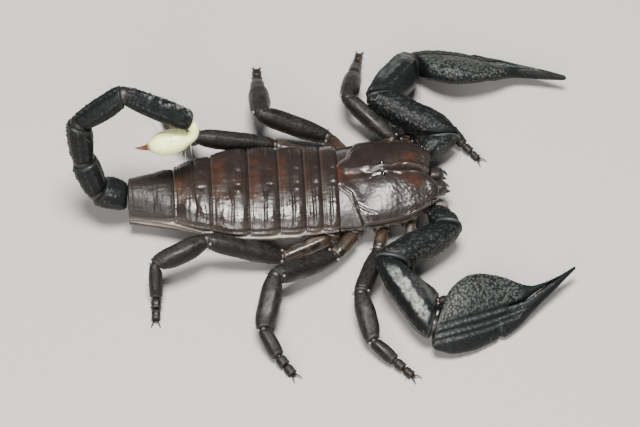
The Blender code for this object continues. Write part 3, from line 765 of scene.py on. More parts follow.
carapace = {
    "length": 12.3, "turn": math.radians(6), "floor": 3.3, "lidStart": 9.4, "lidFloor": 4.35, "rise": 2.5,
    "halfWidths": ((0, 6.5), (4, 6.75), (8.3, 6.15), (10.6, 5.2), (11.6, 4.6), (12.1, 3.9), (12.3, 3.2)),
    "notch": 0.75, "ringSpacing": 0.085, "edgeRings": (0.08, 0.13, 12.24, 12.27),
    "pointsAcross": 221, "pointsUnder": 15,
    "furrowDepth": 0.46, "crestHeight": 0.17,
    "crest": ((0.4, 1.35), (2.2, 0.98), (3.8, 0.92), (5.0, 0.46), (6.7, 0.46), (8.0, 0.74), (9.4, 0.5),
              (11.2, 0.4)),
    "sideFurrow": ((0.3, 1.5), (0.9, 2.2), (1.6, 2.8), (1.85, 3.5), (2.0, 4.3), (2.35, 5.3), (2.9, 6.4)),
    "lowFurrow": ((1.95, 4.2), (3.2, 5.2), (5.0, 6.0)),
    "sideFurrowDepth": 0.14, "sideRidgeHeight": 0.12, "rearStep": 0.09,
    "granuleSpacing": 0.28, "granuleHeight": 0.042, "rimHeight": 0.06, "rimGroove": 0.035,
    # each with its strength, its middle (ahead, aside) and its reach (ahead, aside)
    "mounds": (
        (0.3, (5.75, 0), (1.2, 0.95)), (0.44, (8.0, 2.0), (4.1, 1.75)), (-0.2, (3.1, 3.1), (1.1, 1.5)),
        (0.42, (11.8, 2.2), (0.9, 1.2)), (-0.16, (0.95, 0), (0.75, 0.9)),
    ),
    "redPatches": (
        (0.95, (9.6, 1.9), (0.8, 0.8)), (0.9, (1.2, 0), (1.2, 0.8)), (0.6, (0.3, 1.3), (0.3, 1.0)),
        (0.3, (8.2, 1.4), (1.4, 0.6)),
    ),
}
eyes = {"place": (5.75, 0.9), "radius": 0.39, "sideEyes": ((11.0, 4.75), (11.45, 4.45), (11.8, 4.0))}


def turned(x, y, z):
    # bends the head end to the animal's left, more and more towards the front
    ahead = max(x, 0)
    share = min(ahead / carapace["length"], 1)
    bend = math.sin(carapace["turn"])
    return Vector((x - y * bend * share, y + ahead * bend, z))


def carapaceWidthAt(x):
    return curveThrough(x, carapace["halfWidths"])


def carapaceRimAt(x):
    return trunk["rimHeight"] + 0.5 * smoothStep(x, 7, 10.6)


def notchAt(x, y):
    return carapace["notch"] * smoothStep(x, 9.5, carapace["length"]) * ridge(y, 0, 1.5)


def patchesAt(x, aside, patches):
    return sum(
        strength * ridge(aside, middleAside, reachAside) * ridge(x, middleAhead, reachAhead)
        for strength, (middleAhead, middleAside), (reachAhead, reachAside) in patches
    )


def carapaceRelief(x, y, across):
    # height over the plain dome, then grain, red-brown tint and polish
    plan = carapace
    aside = abs(y)
    ahead = x / plan["length"]
    place = Vector((x, y, 0))
    uneven = unevenness(place, 1.6)
    crinkle = unevenness(Vector((x * 0.6, y * 1.6, 2)), 0.55)
    furrow = plan["furrowDepth"] * ridge(y, 0.1 * uneven, 0.5 - 0.24 * smoothStep(x, 3, 5))
    furrow *= smoothStep(x, 0.2, 1.6) * (1 - 0.45 * ridge(x, eyes["place"][0], 1.1))
    furrow *= 0.3 + 0.7 * smoothStep(x, 2.5, 5)
    crestAside = curveThrough(x, plan["crest"]) + 0.13 * uneven + 0.07 * crinkle
    crest = ridge(aside, crestAside, 0.17) * (0.12 + 0.88 * smoothStep(x, 2.8, 4.8)) * (0.8 + 0.9 * crinkle)
    away, reached = pathDistance(x, aside, plan["sideFurrow"])
    fade = 1 - smoothStep(reached, 4.4, 6)
    lowAway, lowReached = pathDistance(x, aside, plan["lowFurrow"])
    sideFurrow = ridge(away, 0, 0.2) * fade * (1 + 0.5 * uneven)
    sideFurrow += 0.8 * ridge(lowAway, 0, 0.16) * (1 - smoothStep(lowReached, 1.3, 2))
    ridgeAway, _ = pathDistance(x + 0.2, aside - 0.2, plan["sideFurrow"])
    sideRidge = ridge(ridgeAway, 0, 0.14) * fade * (1 + 0.9 * crinkle)
    behind = smoothStep(aside - curveThrough(x, plan["sideFurrow"]), 0, 0.5) * (1 - smoothStep(x, 2.6, 3.4))
    eyeGroove = 0.018 * ridge(x, 6.4 + 0.25 * (aside - 3), 0.13) * ridge(aside, 3.2, 0.8)
    height = patchesAt(x, aside, plan["mounds"]) - furrow - eyeGroove
    height -= (plan["rearStep"] + 0.15 * max(aside - 2, 0)) * behind
    height += plan["crestHeight"] * crest - plan["sideFurrowDepth"] * sideFurrow
    height += plan["sideRidgeHeight"] * sideRidge
    radial = unevenness(Vector((x * 1.8, aside * 0.5, 5)), 0.6)
    radial *= ridge(x, 2.6, 1.6) * smoothStep(aside, 1.2, 2.2)
    rough = smoothStep(x, 4.5, 7)
    height += 0.035 * uneven + (0.016 + 0.012 * rough) * unevenness(place, 0.42) + 0.02 * radial
    height += 0.035 * unevenness(place, 0.8) * (1 - rough) * ridge(aside, 0, 2.4)
    granular = smoothStep(ahead, 0.4, 0.7) * smoothStep(abs(across), 0.05, 0.2)
    rim = within(abs(across), 0.958, 0.976, 0.99, 1)
    inRim = ridge(abs(across), 0.93, 0.014) + 0.6 * ridge(abs(across), 0.9, 0.012)
    grain = beads(place, plan["granuleSpacing"]) * (0.1 + 0.5 * granular + 0.6 * smoothStep(ahead, 0.8, 0.97))
    height += plan["granuleHeight"] * grain + plan["rimHeight"] * rim - plan["rimGroove"] * inRim
    warmTintAndPaintedStripe = patchesAt(x, aside, plan["redPatches"]) * (0.85 + 0.9 * unevenness(place, 0.7))
    # pale granule tops, and painted highlight along the crests, the side ridges and the rim
    granuleTintAndHighlight = max(0.12 * grain, 0.4 * crest, 0.75 * sideRidge, 0.3 * rim)
    return height, granuleTintAndHighlight, warmTintAndPaintedStripe, 0.45 + uneven + 0.4 * crest - 0.6 * behind


def carapaceTop(x, y):
    across = min(abs(y) / carapaceWidthAt(x), 1)
    rise = carapace["rise"] - 1.75 * smoothStep(x, 6, carapace["length"] + 0.6)
    height = carapaceRelief(x, y, across)[0]
    return carapaceRimAt(x) + rise * math.sqrt(1 - across ** 2) + height * smoothStep(1 - across, 0, 0.02)


def carapaceRing(x):
    plan = carapace
    width = carapaceWidthAt(x)
    lid = smoothStep(x, plan["lidStart"] - 0.8, plan["lidStart"])
    floor = plan["floor"] + (plan["lidFloor"] - plan["floor"]) * lid
    brink = 0.42 * smoothStep(x, 10.9, plan["length"]) ** 2 + 0.15 * (1 - smoothStep(x, 0, 0.25)) ** 2
    ring, marks = [], []
    for index in range(plan["pointsAcross"]):
        y = width * math.cos(math.pi * index / (plan["pointsAcross"] - 1))
        across = y / width
        looks = carapaceRelief(x, y, across)[1:]
        top = max(carapaceTop(x, y) - brink * (1 - across ** 2), floor + 0.1)
        ring.append(turned(x - notchAt(x, y), y, top))
        marks.append((x, across, 1, *map(clamped, looks)))
    for index in range(plan["pointsUnder"]):
        y = (width - trunk["plateThickness"]) * (2 * index / (plan["pointsUnder"] - 1) - 1)
        ring.append(turned(x - notchAt(x, y), y, floor))
        marks.append((x, 0, -1, 0, 0, 0))
    return ring, marks


def buildCarapace():
    start = gap / 2
    steps = round(carapace["length"] / carapace["ringSpacing"])
    places = [start + (carapace["length"] - start) * index / steps for index in range(steps + 1)]
    places += carapace["edgeRings"]
    rings, marks = zip(*(carapaceRing(x) for x in sorted(places)))
    finishPiece("carapace_shield", [(ringSkin(rings, marks), 0)],
                ["glossyBrownShell"], ["carapace"])


def buildEyes():
    x, aside = eyes["place"]
    for side, sign in sides.items():
        y = aside * sign
        seat = turned(x, y, carapaceTop(x, y) + 0.02)
        shapes = [(ballShape(seat, eyes["radius"], (1, 0.8, 0.82), 16), 0)]
        finishPiece(f"eye_{side}", shapes, ["polishedEye"], [f"median_eye_{side}"])
    shapes = []
    for sign in sides.values():
        for x, aside in eyes["sideEyes"]:
            width = carapaceWidthAt(x)
            y = min(aside, width - 0.12) * sign
            seat = turned(x - notchAt(x, y), y, carapaceTop(x, y) - 0.05)
            shapes.append((ballShape(seat, 0.2, (1, 0.9, 0.9), 8), 0))
    finishPiece("side_eyes", shapes, ["polishedEye"])


# legs

legs = {
    "lengths": {
        1: (3.2, 5.4, 4.8, 3.2, 2.6), 2: (3.4, 7.9, 6.4, 3.6, 2.8),
        3: (4.2, 9.0, 7.0, 3.8, 2.9), 4: (6.4, 9.8, 7.0, 4.2, 3.0),
    },
    "hips": {1: (8.6, 5.6), 2: (5.2, 6.2), 3: (1.8, 6.4), 4: (-1.3, 6.5)},
    "hipHeight": 2.35, "ankleHeight": 1.0, "soleAxisHeight": 0.28,
    "bulk": {1: 0.78, 2: 0.9, 3: 1.0, 4: 0.94},
    # heading and pitch of trochanter, femur and patella, then headings of tibia and tarsus
    "poses": {
        ("right", 1): ((-99, -13), (-97, 1), (-42, -3), 0, 0),
        ("right", 2): ((-106, -4), (-109, 9), (-79, -14), -45, -43),
        ("right", 3): ((-131, -2), (-148, 15), (-105, -17), -61, -54),
        ("right", 4): ((-158, -5), (177, 20), (-155, -6), -93, -92),
        ("left", 1): ((66, -10), (70, 2), (-42, 4), -48, -48),
        ("left", 2): ((40, 6), (134, 16), (80, -20), 79, 79),
        ("left", 3): ((124, 0), (170, 22), (93, -21), 89, 90),
        ("left", 4): ((164, 8), (-179, 14), (125, -35), 105, 115),
    },
    # half width and half height of each part, and how much of them is left along it
    "halves": ((0.95, 1.05), (1.25, 1.4), (1.45, 1.5), (0.98, 1.0), (0.72, 0.7)),
    "outlines": (
        ((0, 0.5), (0.03, 0.76), (0.12, 0.93), (0.45, 1), (0.8, 0.96), (0.94, 0.86), (1, 0.6)),
        ((0, 0.45), (0.02, 0.64), (0.1, 0.8), (0.4, 1), (0.75, 1), (0.9, 0.92), (0.97, 0.8), (1, 0.55)),
        ((0, 0.45), (0.02, 0.62), (0.1, 0.78), (0.38, 1), (0.7, 0.98), (0.88, 0.84), (0.97, 0.66), (1, 0.4)),
        ((0, 0.45), (0.04, 0.72), (0.15, 0.9), (0.5, 1), (0.85, 0.94), (0.96, 0.8), (1, 0.5)),
        ((0, 0.62), (0.05, 0.82), (0.2, 0.95), (0.6, 1), (0.88, 0.95), (0.97, 0.84), (1, 0.6)),
    ),
    "corners": ((1, 0.2), (0.62, 0.92), (-0.62, 0.92), (-1, 0.2), (-0.92, -0.45), (-0.5, -0.98),
                (0.5, -0.98), (0.92, -0.45)),
    "cornerWear": 7, "ringSpacing": 0.14, "pointsAround": 44, "ankleShare": 0.5, "toeBulk": 0.88,
    "closing": 0.85, "jointBall": 0.68, "knobRadius": 0.2, "knobAside": 0.74, "knobLift": 0.3,
}
# a claw's root and bow, each as how far ahead, aside and up of the foot's end it is, then its tip
claws = {"root": (0, 0.16, 0.02), "bow": (0.55, 0.46, 0.32), "reach": 0.95, "spread": 0.58, "tipHeight": 0.03}


def legJoints(side, number):
    hipX, hipY = legs["hips"][number]
    point = turned(hipX, hipY * sides[side], legs["hipHeight"])
    pose, lengths = legs["poses"][side, number], legs["lengths"][number]
    joints = [point]
    for length, (heading, pitch) in zip(lengths, pose[:3]):
        point = point + direction(heading, pitch) * length
        joints.append(point)
    for length, heading, height in zip(lengths[3:], pose[3:], (legs["ankleHeight"], legs["soleAxisHeight"])):
        drop = math.degrees(math.asin((height - point.z) / length))
        point = point + direction(heading, drop) * length
        joints.append(point)
    return joints


def outlined(width, height, outline):
    return lambda share: (width * curveThrough(share, outline), height * curveThrough(share, outline), 0)


def legPlans(side, number):
    joints = legJoints(side, number)
    bulk = legs["bulk"][number]
    ankle = joints[4] + (joints[5] - joints[4]) * legs["ankleShare"]
    stops = [*joints[:5], ankle, joints[5]]
    section = corneredSection(legs["corners"], legs["pointsAround"], legs["cornerWear"])
    halves = []
    for index in range(6):
        width, height = legs["halves"][min(index, 4)]
        size = bulk if index < 5 else bulk * legs["toeBulk"]
        halves.append(outlined(width * size, height * size, legs["outlines"][min(index, 4)]))
    acrossWays = [sideways(way) for way in waysBetween(stops)]
    return jointPlans(stops, acrossWays, halves, section, closing=legs["closing"])


def legRelief(part, length):
    # nearly smooth, with low grains along the edges, and a rim at the far end
    def relief(point, along, across, up):
        edge = ridge(up, 0.8, 0.25) + 0.8 * ridge(up, -0.85, 0.25)
        spread = beads(point, 0.26)
        grain = spread * (0.3 + 0.7 * edge) * (1 if part < 3 else 0.5)
        hem = ridge(along, length - 0.22, 0.14)
        depth = 0.022 * grain + 0.03 * unevenness(point, 0.9) + 0.04 * hem
        depth -= 0.05 * ridge(along, length - 0.5, 0.14)
        warmTintAndPaintedStripe = 0.6 * (1 - smoothStep(along, 0.1, 0.6)) + 0.4 * smoothStep(along, length - 0.2, length)
        if part == 0:
            warmTintAndPaintedStripe = 0.5 + 1.5 * unevenness(point, 1.2)
            grain = max(0, 2.6 * unevenness(point + Vector((9, 2, 4)), 0.8))
        return depth, 0.5 * grain + 0.3 * hem, warmTintAndPaintedStripe, 0.3 + unevenness(point, 1.4)
    return relief


def clawShapes(tip, heading):
    # two hooked claws with a short spur between them
    ahead = direction(heading, 0)
    side = sideways(ahead)
    shapes = []
    for spread in (-1, 1):
        root, middle = (tip + ahead * reach + side * (aside * spread) + Vector((0, 0, up))
                        for reach, aside, up in (claws["root"], claws["bow"]))
        end = tip + ahead * claws["reach"] + side * (claws["spread"] * spread)
        end.z = claws["tipHeight"]
        points = arcPoints(root, middle, end, 9)
        shapes.append(pathShape(points, [0.13 - 0.012 * index for index in range(9)], 10))
    shapes.append(pathShape(arcPoints(tip, tip + ahead * 0.2, tip + ahead * 0.4 - Vector((0, 0, 0.08)), 4),
                            [0.1, 0.09, 0.06, 0.02], 8))
    return shapes


def aboveFloor(shape):
    for vert in shape.verts:
        vert.co.z = max(vert.co.z, 0)
    return shape


def buildLeg(side, number):
    plans = legPlans(side, number)
    shapes = []
    for part, plan in enumerate(plans):
        shape = limbShape(plan, legs["ringSpacing"], legRelief(part, plan["length"]))
        shapes.append((aboveFloor(shape), 1 if part == 0 else 0))
    joints = legJoints(side, number)
    bulk = legs["bulk"][number]
    for index in (1, 2, 3, 4):
        halfWidth, halfHeight = legs["halves"][index]
        radius = legs["jointBall"] * min(halfWidth, halfHeight) * bulk
        shapes.append((aboveFloor(ballShape(joints[index], radius, (1, 1, 1), 8)), 2))
        if index < 4:
            # the pale knobs that the joint turns on, one on each side
            for lean in (-1, 1):
                seat = joints[index] + plans[index]["side"] * (legs["knobAside"] * halfWidth * bulk * lean)
                seat += Vector((0, 0, legs["knobLift"] * halfHeight * bulk))
                shapes.append((ballShape(seat, legs["knobRadius"] * bulk, (1, 1, 1), 8), 3))
    finishNames = ["satinLegShell", "amberCoxa", "jointMembrane", "paleCondyle"]
    finishPiece(f"leg_{number}_{side}", shapes, finishNames,
                [f"leg_{number}_{side}_upper", f"leg_{number}_{side}_lower"])
    hooks = [(aboveFloor(shape), 0) for shape in clawShapes(joints[5], legs["poses"][side, number][4])]
    finishPiece(f"claws_{number}_{side}", hooks, ["hornClaw"])


# pedipalps

armParts = ("trochanter", "femur", "patella")
palps = {
    "root": (11.5, 4.4, 3.1), "lengths": (4.2, 9.8, 10.0), "chelaLength": 20.0,
    "poses": {
        "right": ((-66, 11), (-144, 5), (-61, -10), (25.5, -1)),
        "left": ((40, 9), (147, 12), (59, -17), (-9, -1)),
    },
    "halves": {"trochanter": (1.4, 1.4), "femur": (1.8, 1.75), "patella": (2.2, 2.2)},
    "outlines": {
        "trochanter": ((0, 0.45), (0.04, 0.64), (0.2, 0.85), (0.6, 1), (0.88, 0.95), (0.97, 0.84),
                       (1, 0.55)),
        "femur": ((0, 0.45), (0.02, 0.66), (0.12, 0.82), (0.4, 1), (0.82, 0.97), (0.93, 0.87), (0.98, 0.74),
                  (1, 0.5)),
        "patella": ((0, 0.42), (0.02, 0.62), (0.12, 0.8), (0.4, 1), (0.7, 1), (0.9, 0.8), (0.98, 0.6),
                    (1, 0.4)),
    },
    "collar": ((12.35, 4.7, 3.85), 0.78), "jointBall": 0.6,
    # the painted highlight stripe on the patella's roof: its strength on each side, its edges across, and its
    # fades at the root and the end; the right one is strong and the left faint, as the light falls
    "paintedStripe": {"right": 1.0, "left": 0.18}, "stripeEdges": (0.02, 0.2, 0.62, 0.8),
    "stripeRoot": (1.3, 3.2), "stripeEnd": (1.6, 0.6),
    "roofCorners": ((1, 0.1), (0.54, 0.97), (-0.54, 0.97), (-1, 0.1), (-0.8, -0.8), (-0.35, -1), (0.35, -1),
                    (0.8, -0.8)),
    "roofLean": 0.2, "roofWear": 5,
    "ringSpacing": 0.085, "pointsAround": 130,
}
chela = {
    "innerEdge": ((0, 1.5), (0.6, 2.5), (1.2, 3.2), (2.4, 3.8), (3.6, 3.98), (5.5, 3.7), (8, 2.92), (10, 2.0),
                  (12, 0.72), (13.2, 0.05), (14, -0.25), (16, -0.42), (18, -0.36), (20, -0.1)),
    "outerEdge": ((0, 1.4), (1.0, 2.6), (2, 3.19), (3.4, 3.9), (5, 4.4), (6.8, 4.68), (8.4, 4.58), (10, 4.17),
                  (12, 3.36), (14, 2.58), (16, 1.87), (18, 1.09), (20, 0.34)),
    "fingerLine": ((9.0, 1.45), (10.1, 1.45), (12, 1.6), (14, 1.2), (16, 0.78), (18, 0.4), (20, 0.12)),
    "halfThickness": ((0, 1.2), (1.2, 1.45), (4, 1.6), (6, 1.5), (8, 1.25), (10, 0.95), (12, 0.8), (14, 0.7),
                      (17, 0.58), (19, 0.4), (20, 0.28)),
    "fingerStart": 10.2, "fingerRoot": 3.8, "rootFilled": 2.3, "roll": 30,
    "ringSpacing": 0.085, "pointsAround": 220,
    "granuleSpacing": 0.31, "granuleHeight": 0.06, "fineSpacing": 0.26,
    # the manus gives way to the fixed finger from this far before the finger's start to after it
    "parting": (1.3, 0.6), "fingerOverlap": 0.08, "leastFinger": 0.25, "tipShortfall": 0.15,
    # each keel as its places (distance, aside) and its height
    "keels": (
        (((0, 0.6), (4.5, 1.1), (8.5, 1.5), (11.7, 1.8), (13.5, 1.5), (17, 0.9)), 0.15),
        (((0, 1.45), (3, 1.8), (6, 2.2), (9.3, 2.5), (12, 2.6)), 0.12),
        (((0, 2.05), (4.2, 2.7), (8, 3.1), (11, 3.2)), 0.1),
    ),
    "keelWidth": 0.15, "valleyAside": 0.4,
}


def palpJoints(side):
    rootX, rootY, rootZ = palps["root"]
    point = turned(rootX, rootY * sides[side], rootZ)
    joints = [point]
    for length, (heading, pitch) in zip((*palps["lengths"], palps["chelaLength"]), palps["poses"][side]):
        point = point + direction(heading, pitch) * length
        joints.append(point)
    return joints


def palpRelief(part, length, side):
    # packed granules with coarser ones in rows on the keels, and a rim at the far end
    def relief(point, along, across, up):
        bare = within(along, 0.5, 1.1, length - 0.9, length - 0.4)
        hem = ridge(along, length - 0.3, 0.2)
        if part == "patella":
            # its roof has finer granules, two keels and a painted highlight stripe, with painted glints on
            # the keel rows
            keel = max(ridge(across, 0.74, 0.06), ridge(across, -0.36, 0.06)) * (up > 0.55)
            keel = max(keel, ridge(abs(across), 0.98, 0.04))
            dent = unevenness(point, 0.5)
            edge = across + 0.14 * dent
            paintedStripe = within(edge, *palps["stripeEdges"]) * (up > 0.5)
            fading, end = (length - left for left in palps["stripeEnd"])
            paintedStripe *= within(along, *palps["stripeRoot"], fading, end)
            scales = beads(point, 0.4)
            row = beads(point, 0.34) * keel
            depth = bare * (0.035 * beads(point, 0.28) * (1 - paintedStripe) + 0.12 * keel * (0.5 + 0.6 * row))
            depth += paintedStripe * (0.05 * dent + 0.035 * scales) + 0.09 * hem
            # the stripe's pale grey is painted highlight, carried in the warm mark
            paintedStripeHighlight = paintedStripe * (0.48 + 0.6 * dent + 0.5 * scales) * palps["paintedStripe"][side]
            return depth, max(0.2 * row * bare, 0.04 * beads(point, 0.28)) + 0.12 * hem, paintedStripeHighlight, 0.8 * paintedStripe
        keel = max(ridge(abs(across), 0.9, 0.06) * ridge(up, 0.55, 0.3),
                   ridge(abs(across), 0.86, 0.07) * (up < -0.4))
        grain = beads(point, 0.36)
        row = beads(point, 0.4) * keel
        depth = bare * (0.065 * grain + 0.05 * keel + 0.13 * row) + 0.09 * hem
        depth += 0.04 * unevenness(point, 1.2) - 0.06 * ridge(along, length - 0.75, 0.2)
        # the granules' tops and the keel rows are lifted towards the pale colour as painted glints
        tops = smoothStep(grain, 0.72, 0.95)
        return depth, bare * (0.03 * grain + 0.2 * tops + 0.25 * row) + 0.2 * hem, 0.0, 0.5 * tops + 0.7 * hem
    return relief


def chelaHalf(inner, outer, distance, outward):
    thickness = curveThrough(distance, chela["halfThickness"])
    return abs(outer - inner) / 2, thickness, (outer + inner) / 2 * outward


def handEdges(distance):
    # the manus from edge to edge, then the fixed finger up to the line between the fingers
    inner = -curveThrough(distance, chela["innerEdge"])
    outer = curveThrough(distance, chela["outerEdge"])
    before, after = chela["parting"]
    parted = smoothStep(distance, chela["fingerStart"] - before, chela["fingerStart"] + after)
    line = curveThrough(distance, chela["fingerLine"]) - gap / 2
    return inner, outer + (line - outer) * parted


def fingerEdges(distance):
    # closed on the fixed finger, so that nothing shows between them
    inner = curveThrough(distance, chela["fingerLine"]) - chela["fingerOverlap"]
    return inner, max(curveThrough(distance, chela["outerEdge"]), inner + chela["leastFinger"])


def handHalfAt(outward):
    def halfAt(share):
        distance = share * palps["chelaLength"]
        halfWidth, thickness, shift = chelaHalf(*handEdges(distance), distance, outward)
        close = 1 - 0.45 * (1 - smoothStep(distance, 0, 0.5)) - 0.6 * smoothStep(distance, 19.6, 20)
        return halfWidth * close, thickness * close, shift
    return halfAt


def fingerHalfAt(outward):
    # its root sits inside the manus and fills it before the manus ends
    def halfAt(share):
        start = chela["fingerStart"] - chela["fingerRoot"]
        distance = start + share * (palps["chelaLength"] - chela["tipShortfall"] - start)
        halfWidth, thickness, shift = chelaHalf(*fingerEdges(distance), distance, outward)
        close = 0.4 + 0.59 * smoothStep(distance, start, chela["fingerStart"] - chela["rootFilled"])
        thin = 0.85 + 0.15 * smoothStep(distance, chela["fingerStart"] - 0.7, chela["fingerStart"] + 1.3)
        return halfWidth * close, thickness * close * thin, shift
    return halfAt


def chelaRelief(point, distance, aside, up):
    # a cobbled inner face; keels run from the wrist towards the moving finger
    manus = within(distance, 0.3, 1.1, 11.0, 13.2)
    above = smoothStep(up, -0.15, 0.15)
    keel, valley = 0, 0
    for line, height in chela["keels"]:
        place = curveThrough(distance, line)
        last = line[-1][0]
        run = within(distance, 0.2, 1.0, last - 1.5, last) * above
        keel = max(keel, height * ridge(aside, place, chela["keelWidth"]) * run)
        valley = max(valley, ridge(aside, place - chela["valleyAside"], 0.17) * run)
    first = curveThrough(distance, chela["keels"][0][0])
    face = 1 - smoothStep(aside, first - 0.9, first - 0.35)
    cobble = beads(point, chela["granuleSpacing"]) * face
    cobble += 0.5 * beads(point, chela["fineSpacing"]) * (1 - face)
    row = smoothStep(beads(point, 0.36), 0.1, 0.8)
    finger = 0.12 * smoothStep(distance, 11, 13)
    depth = chela["granuleHeight"] * cobble * max(manus, finger) + keel * (0.45 + 0.6 * row)
    depth += manus * (0.05 * unevenness(point, 1.7) - 0.08 * valley)
    wrist = 1 + 0.25 * (1 - smoothStep(distance, 1, 5))
    # painted glints: the cobbles' tops and the keels are lifted towards the pale colour, most on the upper
    # face and near the wrist, less in the valleys beside the keels
    paintedGlint = (0.02 + 0.42 * cobble ** 1.15) * (0.35 + 0.65 * face) * (0.2 + 0.8 * above)
    paintedGlint *= max(manus, finger) * wrist
    paintedGlint = paintedGlint * (1 - 0.75 * valley) + 2.8 * keel * (0.3 + 0.7 * row)
    return depth, paintedGlint, 0.0, 0.7 * cobble + 4 * keel


def handRelief(point, along, across, up):
    inner, outer = handEdges(along)
    return chelaRelief(point, along, (inner + outer) / 2 + across * (outer - inner) / 2, up)


def fingerRelief(point, along, across, up):
    distance = along + chela["fingerStart"] - chela["fingerRoot"]
    inner, outer = fingerEdges(distance)
    return chelaRelief(point, distance, (inner + outer) / 2 + across * (outer - inner) / 2, up)


def palpPlans(side):
    outward = sides[side]
    joints = palpJoints(side)
    ways = waysBetween(joints)
    boxy = roundSection(palps["pointsAround"], 2.7)
    # only the roof's two top corners lean outwards
    corners = [(x + palps["roofLean"] * outward * (y > 0.5), y) for x, y in palps["roofCorners"]]
    roof = corneredSection(corners, palps["pointsAround"], palps["roofWear"])
    halves = [outlined(*palps["halves"][part], palps["outlines"][part]) for part in armParts]
    acrossWays = [sideways(way) for way in ways[:3]]
    arms = jointPlans(joints[:4], acrossWays, halves, boxy, None, ways[3], outward)
    plans = dict(zip(armParts, arms))
    plans["patella"]["section"] = roof
    flat = sideways(ways[3], -chela["roll"] * outward)
    leaf = roundSection(chela["pointsAround"], 2.3)
    wrist = (ways[2] + ways[3]).normalized()
    plans["hand"] = limbPlan(joints[3] + ways[3] * (gap / 2), joints[4], flat, handHalfAt(outward), leaf,
                             outward, (wrist, ways[3]))
    root = joints[3] + ways[3] * (chela["fingerStart"] - chela["fingerRoot"])
    tip = joints[4] - ways[3] * chela["tipShortfall"]
    plans["finger"] = limbPlan(root, tip, flat, fingerHalfAt(outward), leaf, outward)
    return plans


def buildPalp(side):
    plans = palpPlans(side)
    joints = palpJoints(side)
    for index, part in enumerate(armParts):
        shell = "silveredBlackShell" if part == "patella" else "granularBlackShell"
        relief = palpRelief(part, plans[part]["length"], side)
        shapes = [(limbShape(plans[part], palps["ringSpacing"], relief), 0)]
        width, _ = palps["halves"][part]
        shapes.append((ballShape(joints[index + 1], palps["jointBall"] * width, (1, 1, 1), 12), 1))
        if part == "trochanter":
            (x, y, z), radius = palps["collar"]
            seat = turned(x, y * sides[side], z)
            shapes.append((ballShape(seat, radius, (1.15, 0.9, 0.7), 14), 2))
        finishPiece(f"palp_{part}_{side}", shapes, [shell, "jointMembrane", "pleatedMembrane"],
                    [f"pedipalp_{side}_{part}"])
    black = ["granularBlackShell"]
    hand = aboveFloor(limbShape(plans["hand"], chela["ringSpacing"], handRelief))
    finishPiece(f"palp_hand_{side}", [(hand, 0)], black, [f"pedipalp_{side}_hand"])
    finger = aboveFloor(limbShape(plans["finger"], chela["ringSpacing"], fingerRelief))
    finishPiece(f"palp_moving_finger_{side}", [(finger, 0)], black,
                [f"pedipalp_{side}_movable_finger"])


# tail

tail = {
    "rootHeight": 4.2, "lengths": (3.8, 4.9, 5.5, 6.8, 9.1), "widths": (4.1, 3.5, 3.3, 2.9, 2.7),
    "depths": (3.5, 3.3, 3.2, 2.8, 2.7), "angles": (162, 108, 92, 35, -28), "lean": math.radians(13),
    "outline": ((0, 0.5), (0.02, 0.72), (0.1, 0.86), (0.3, 0.97), (0.65, 1.03), (0.86, 0.98), (0.95, 0.86),
                (0.985, 0.74), (1, 0.5)),
    "ringSpacing": 0.095, "pointsAround": 120, "keelHeight": 0.13, "keelWidth": 0.1, "closing": 0.75,
    # each keel's place in the section: across and up, where up is the belly side
    "keels": ((0.25, 1), (0.84, 0.86), (1, 0.1), (0.98, -0.5), (0.76, -0.96)),
}


def inArch(angle):
    # a direction in the tail's plane, which leans to the animal's left
    angle = math.radians(angle)
    up = Vector((0, math.sin(tail["lean"]), math.cos(tail["lean"])))
    return Vector((1, 0, 0)) * math.cos(angle) + up * math.sin(angle)


tailSide = Vector((0, math.cos(tail["lean"]), -math.sin(tail["lean"])))


def tailJoints():
    point = Vector((-trunkLength, 0, tail["rootHeight"]))
    joints = [point]
    for length, angle in zip(tail["lengths"], tail["angles"]):
        point = point + inArch(angle) * length
        joints.append(point)
    return joints


def tailPlans():
    joints = tailJoints()
    ways = waysBetween(joints)
    halves = [outlined(width / 2, depth / 2, tail["outline"])
              for width, depth in zip(tail["widths"], tail["depths"])]
    section = roundSection(tail["pointsAround"], 2.5)
    return jointPlans(joints, [tailSide] * len(ways), halves, section, inArch(-tail["angles"][0]), ways[-1],
                      closing=tail["closing"])


def tailRelief(number, length):
    # rows of grains on the keels with hollow faces between; the back has a furrow
    last = number == len(tail["lengths"])
    coarse = 0.46 if last else 0.34

    def relief(point, along, across, up):
        keel = max(math.exp(-((abs(across) - a) ** 2 + (up - b) ** 2) / tail["keelWidth"] ** 2)
                   for a, b in tail["keels"])
        bare = within(along, 0.4, 0.9, length - 0.7, length - 0.3)
        belly = smoothStep(up, 0.2, 0.8)
        row = beads(point, coarse)
        fine = beads(point, 0.3)
        depth = tail["keelHeight"] * keel * (0.35 + 1.0 * row) * bare * (1 + 0.6 * belly * last)
        depth += 0.04 * fine * bare - 0.05 * (1 - keel) * bare
        depth -= 0.2 * ridge(across, 0, 0.4) * (up < -0.5) * bare
        depth += 0.04 * unevenness(point, 1.0)
        hem = ridge(along, length - 0.32, 0.18)
        # painted glints on the keel grains, stronger on the belly side, which faces up in the arch, and along
        # the upper edge of the fifth segment
        paintedGlint = 0.2 * keel * row * bare * (0.6 + 0.4 * belly) + 0.035 * fine * bare + 0.08 * hem
        if last:
            paintedGlint += 0.8 * smoothStep(up, 0.8, 0.97) * row ** 2 * smoothStep(along, 1.5, 4)
        warmTintAndPaintedStripe = 0.5 * smoothStep(along, length - 0.1, length) + 0.4 * (1 - smoothStep(along, 0, 0.15))
        return depth + 0.07 * hem, paintedGlint, warmTintAndPaintedStripe, 0.8 * keel + 0.6 * hem
    return relief


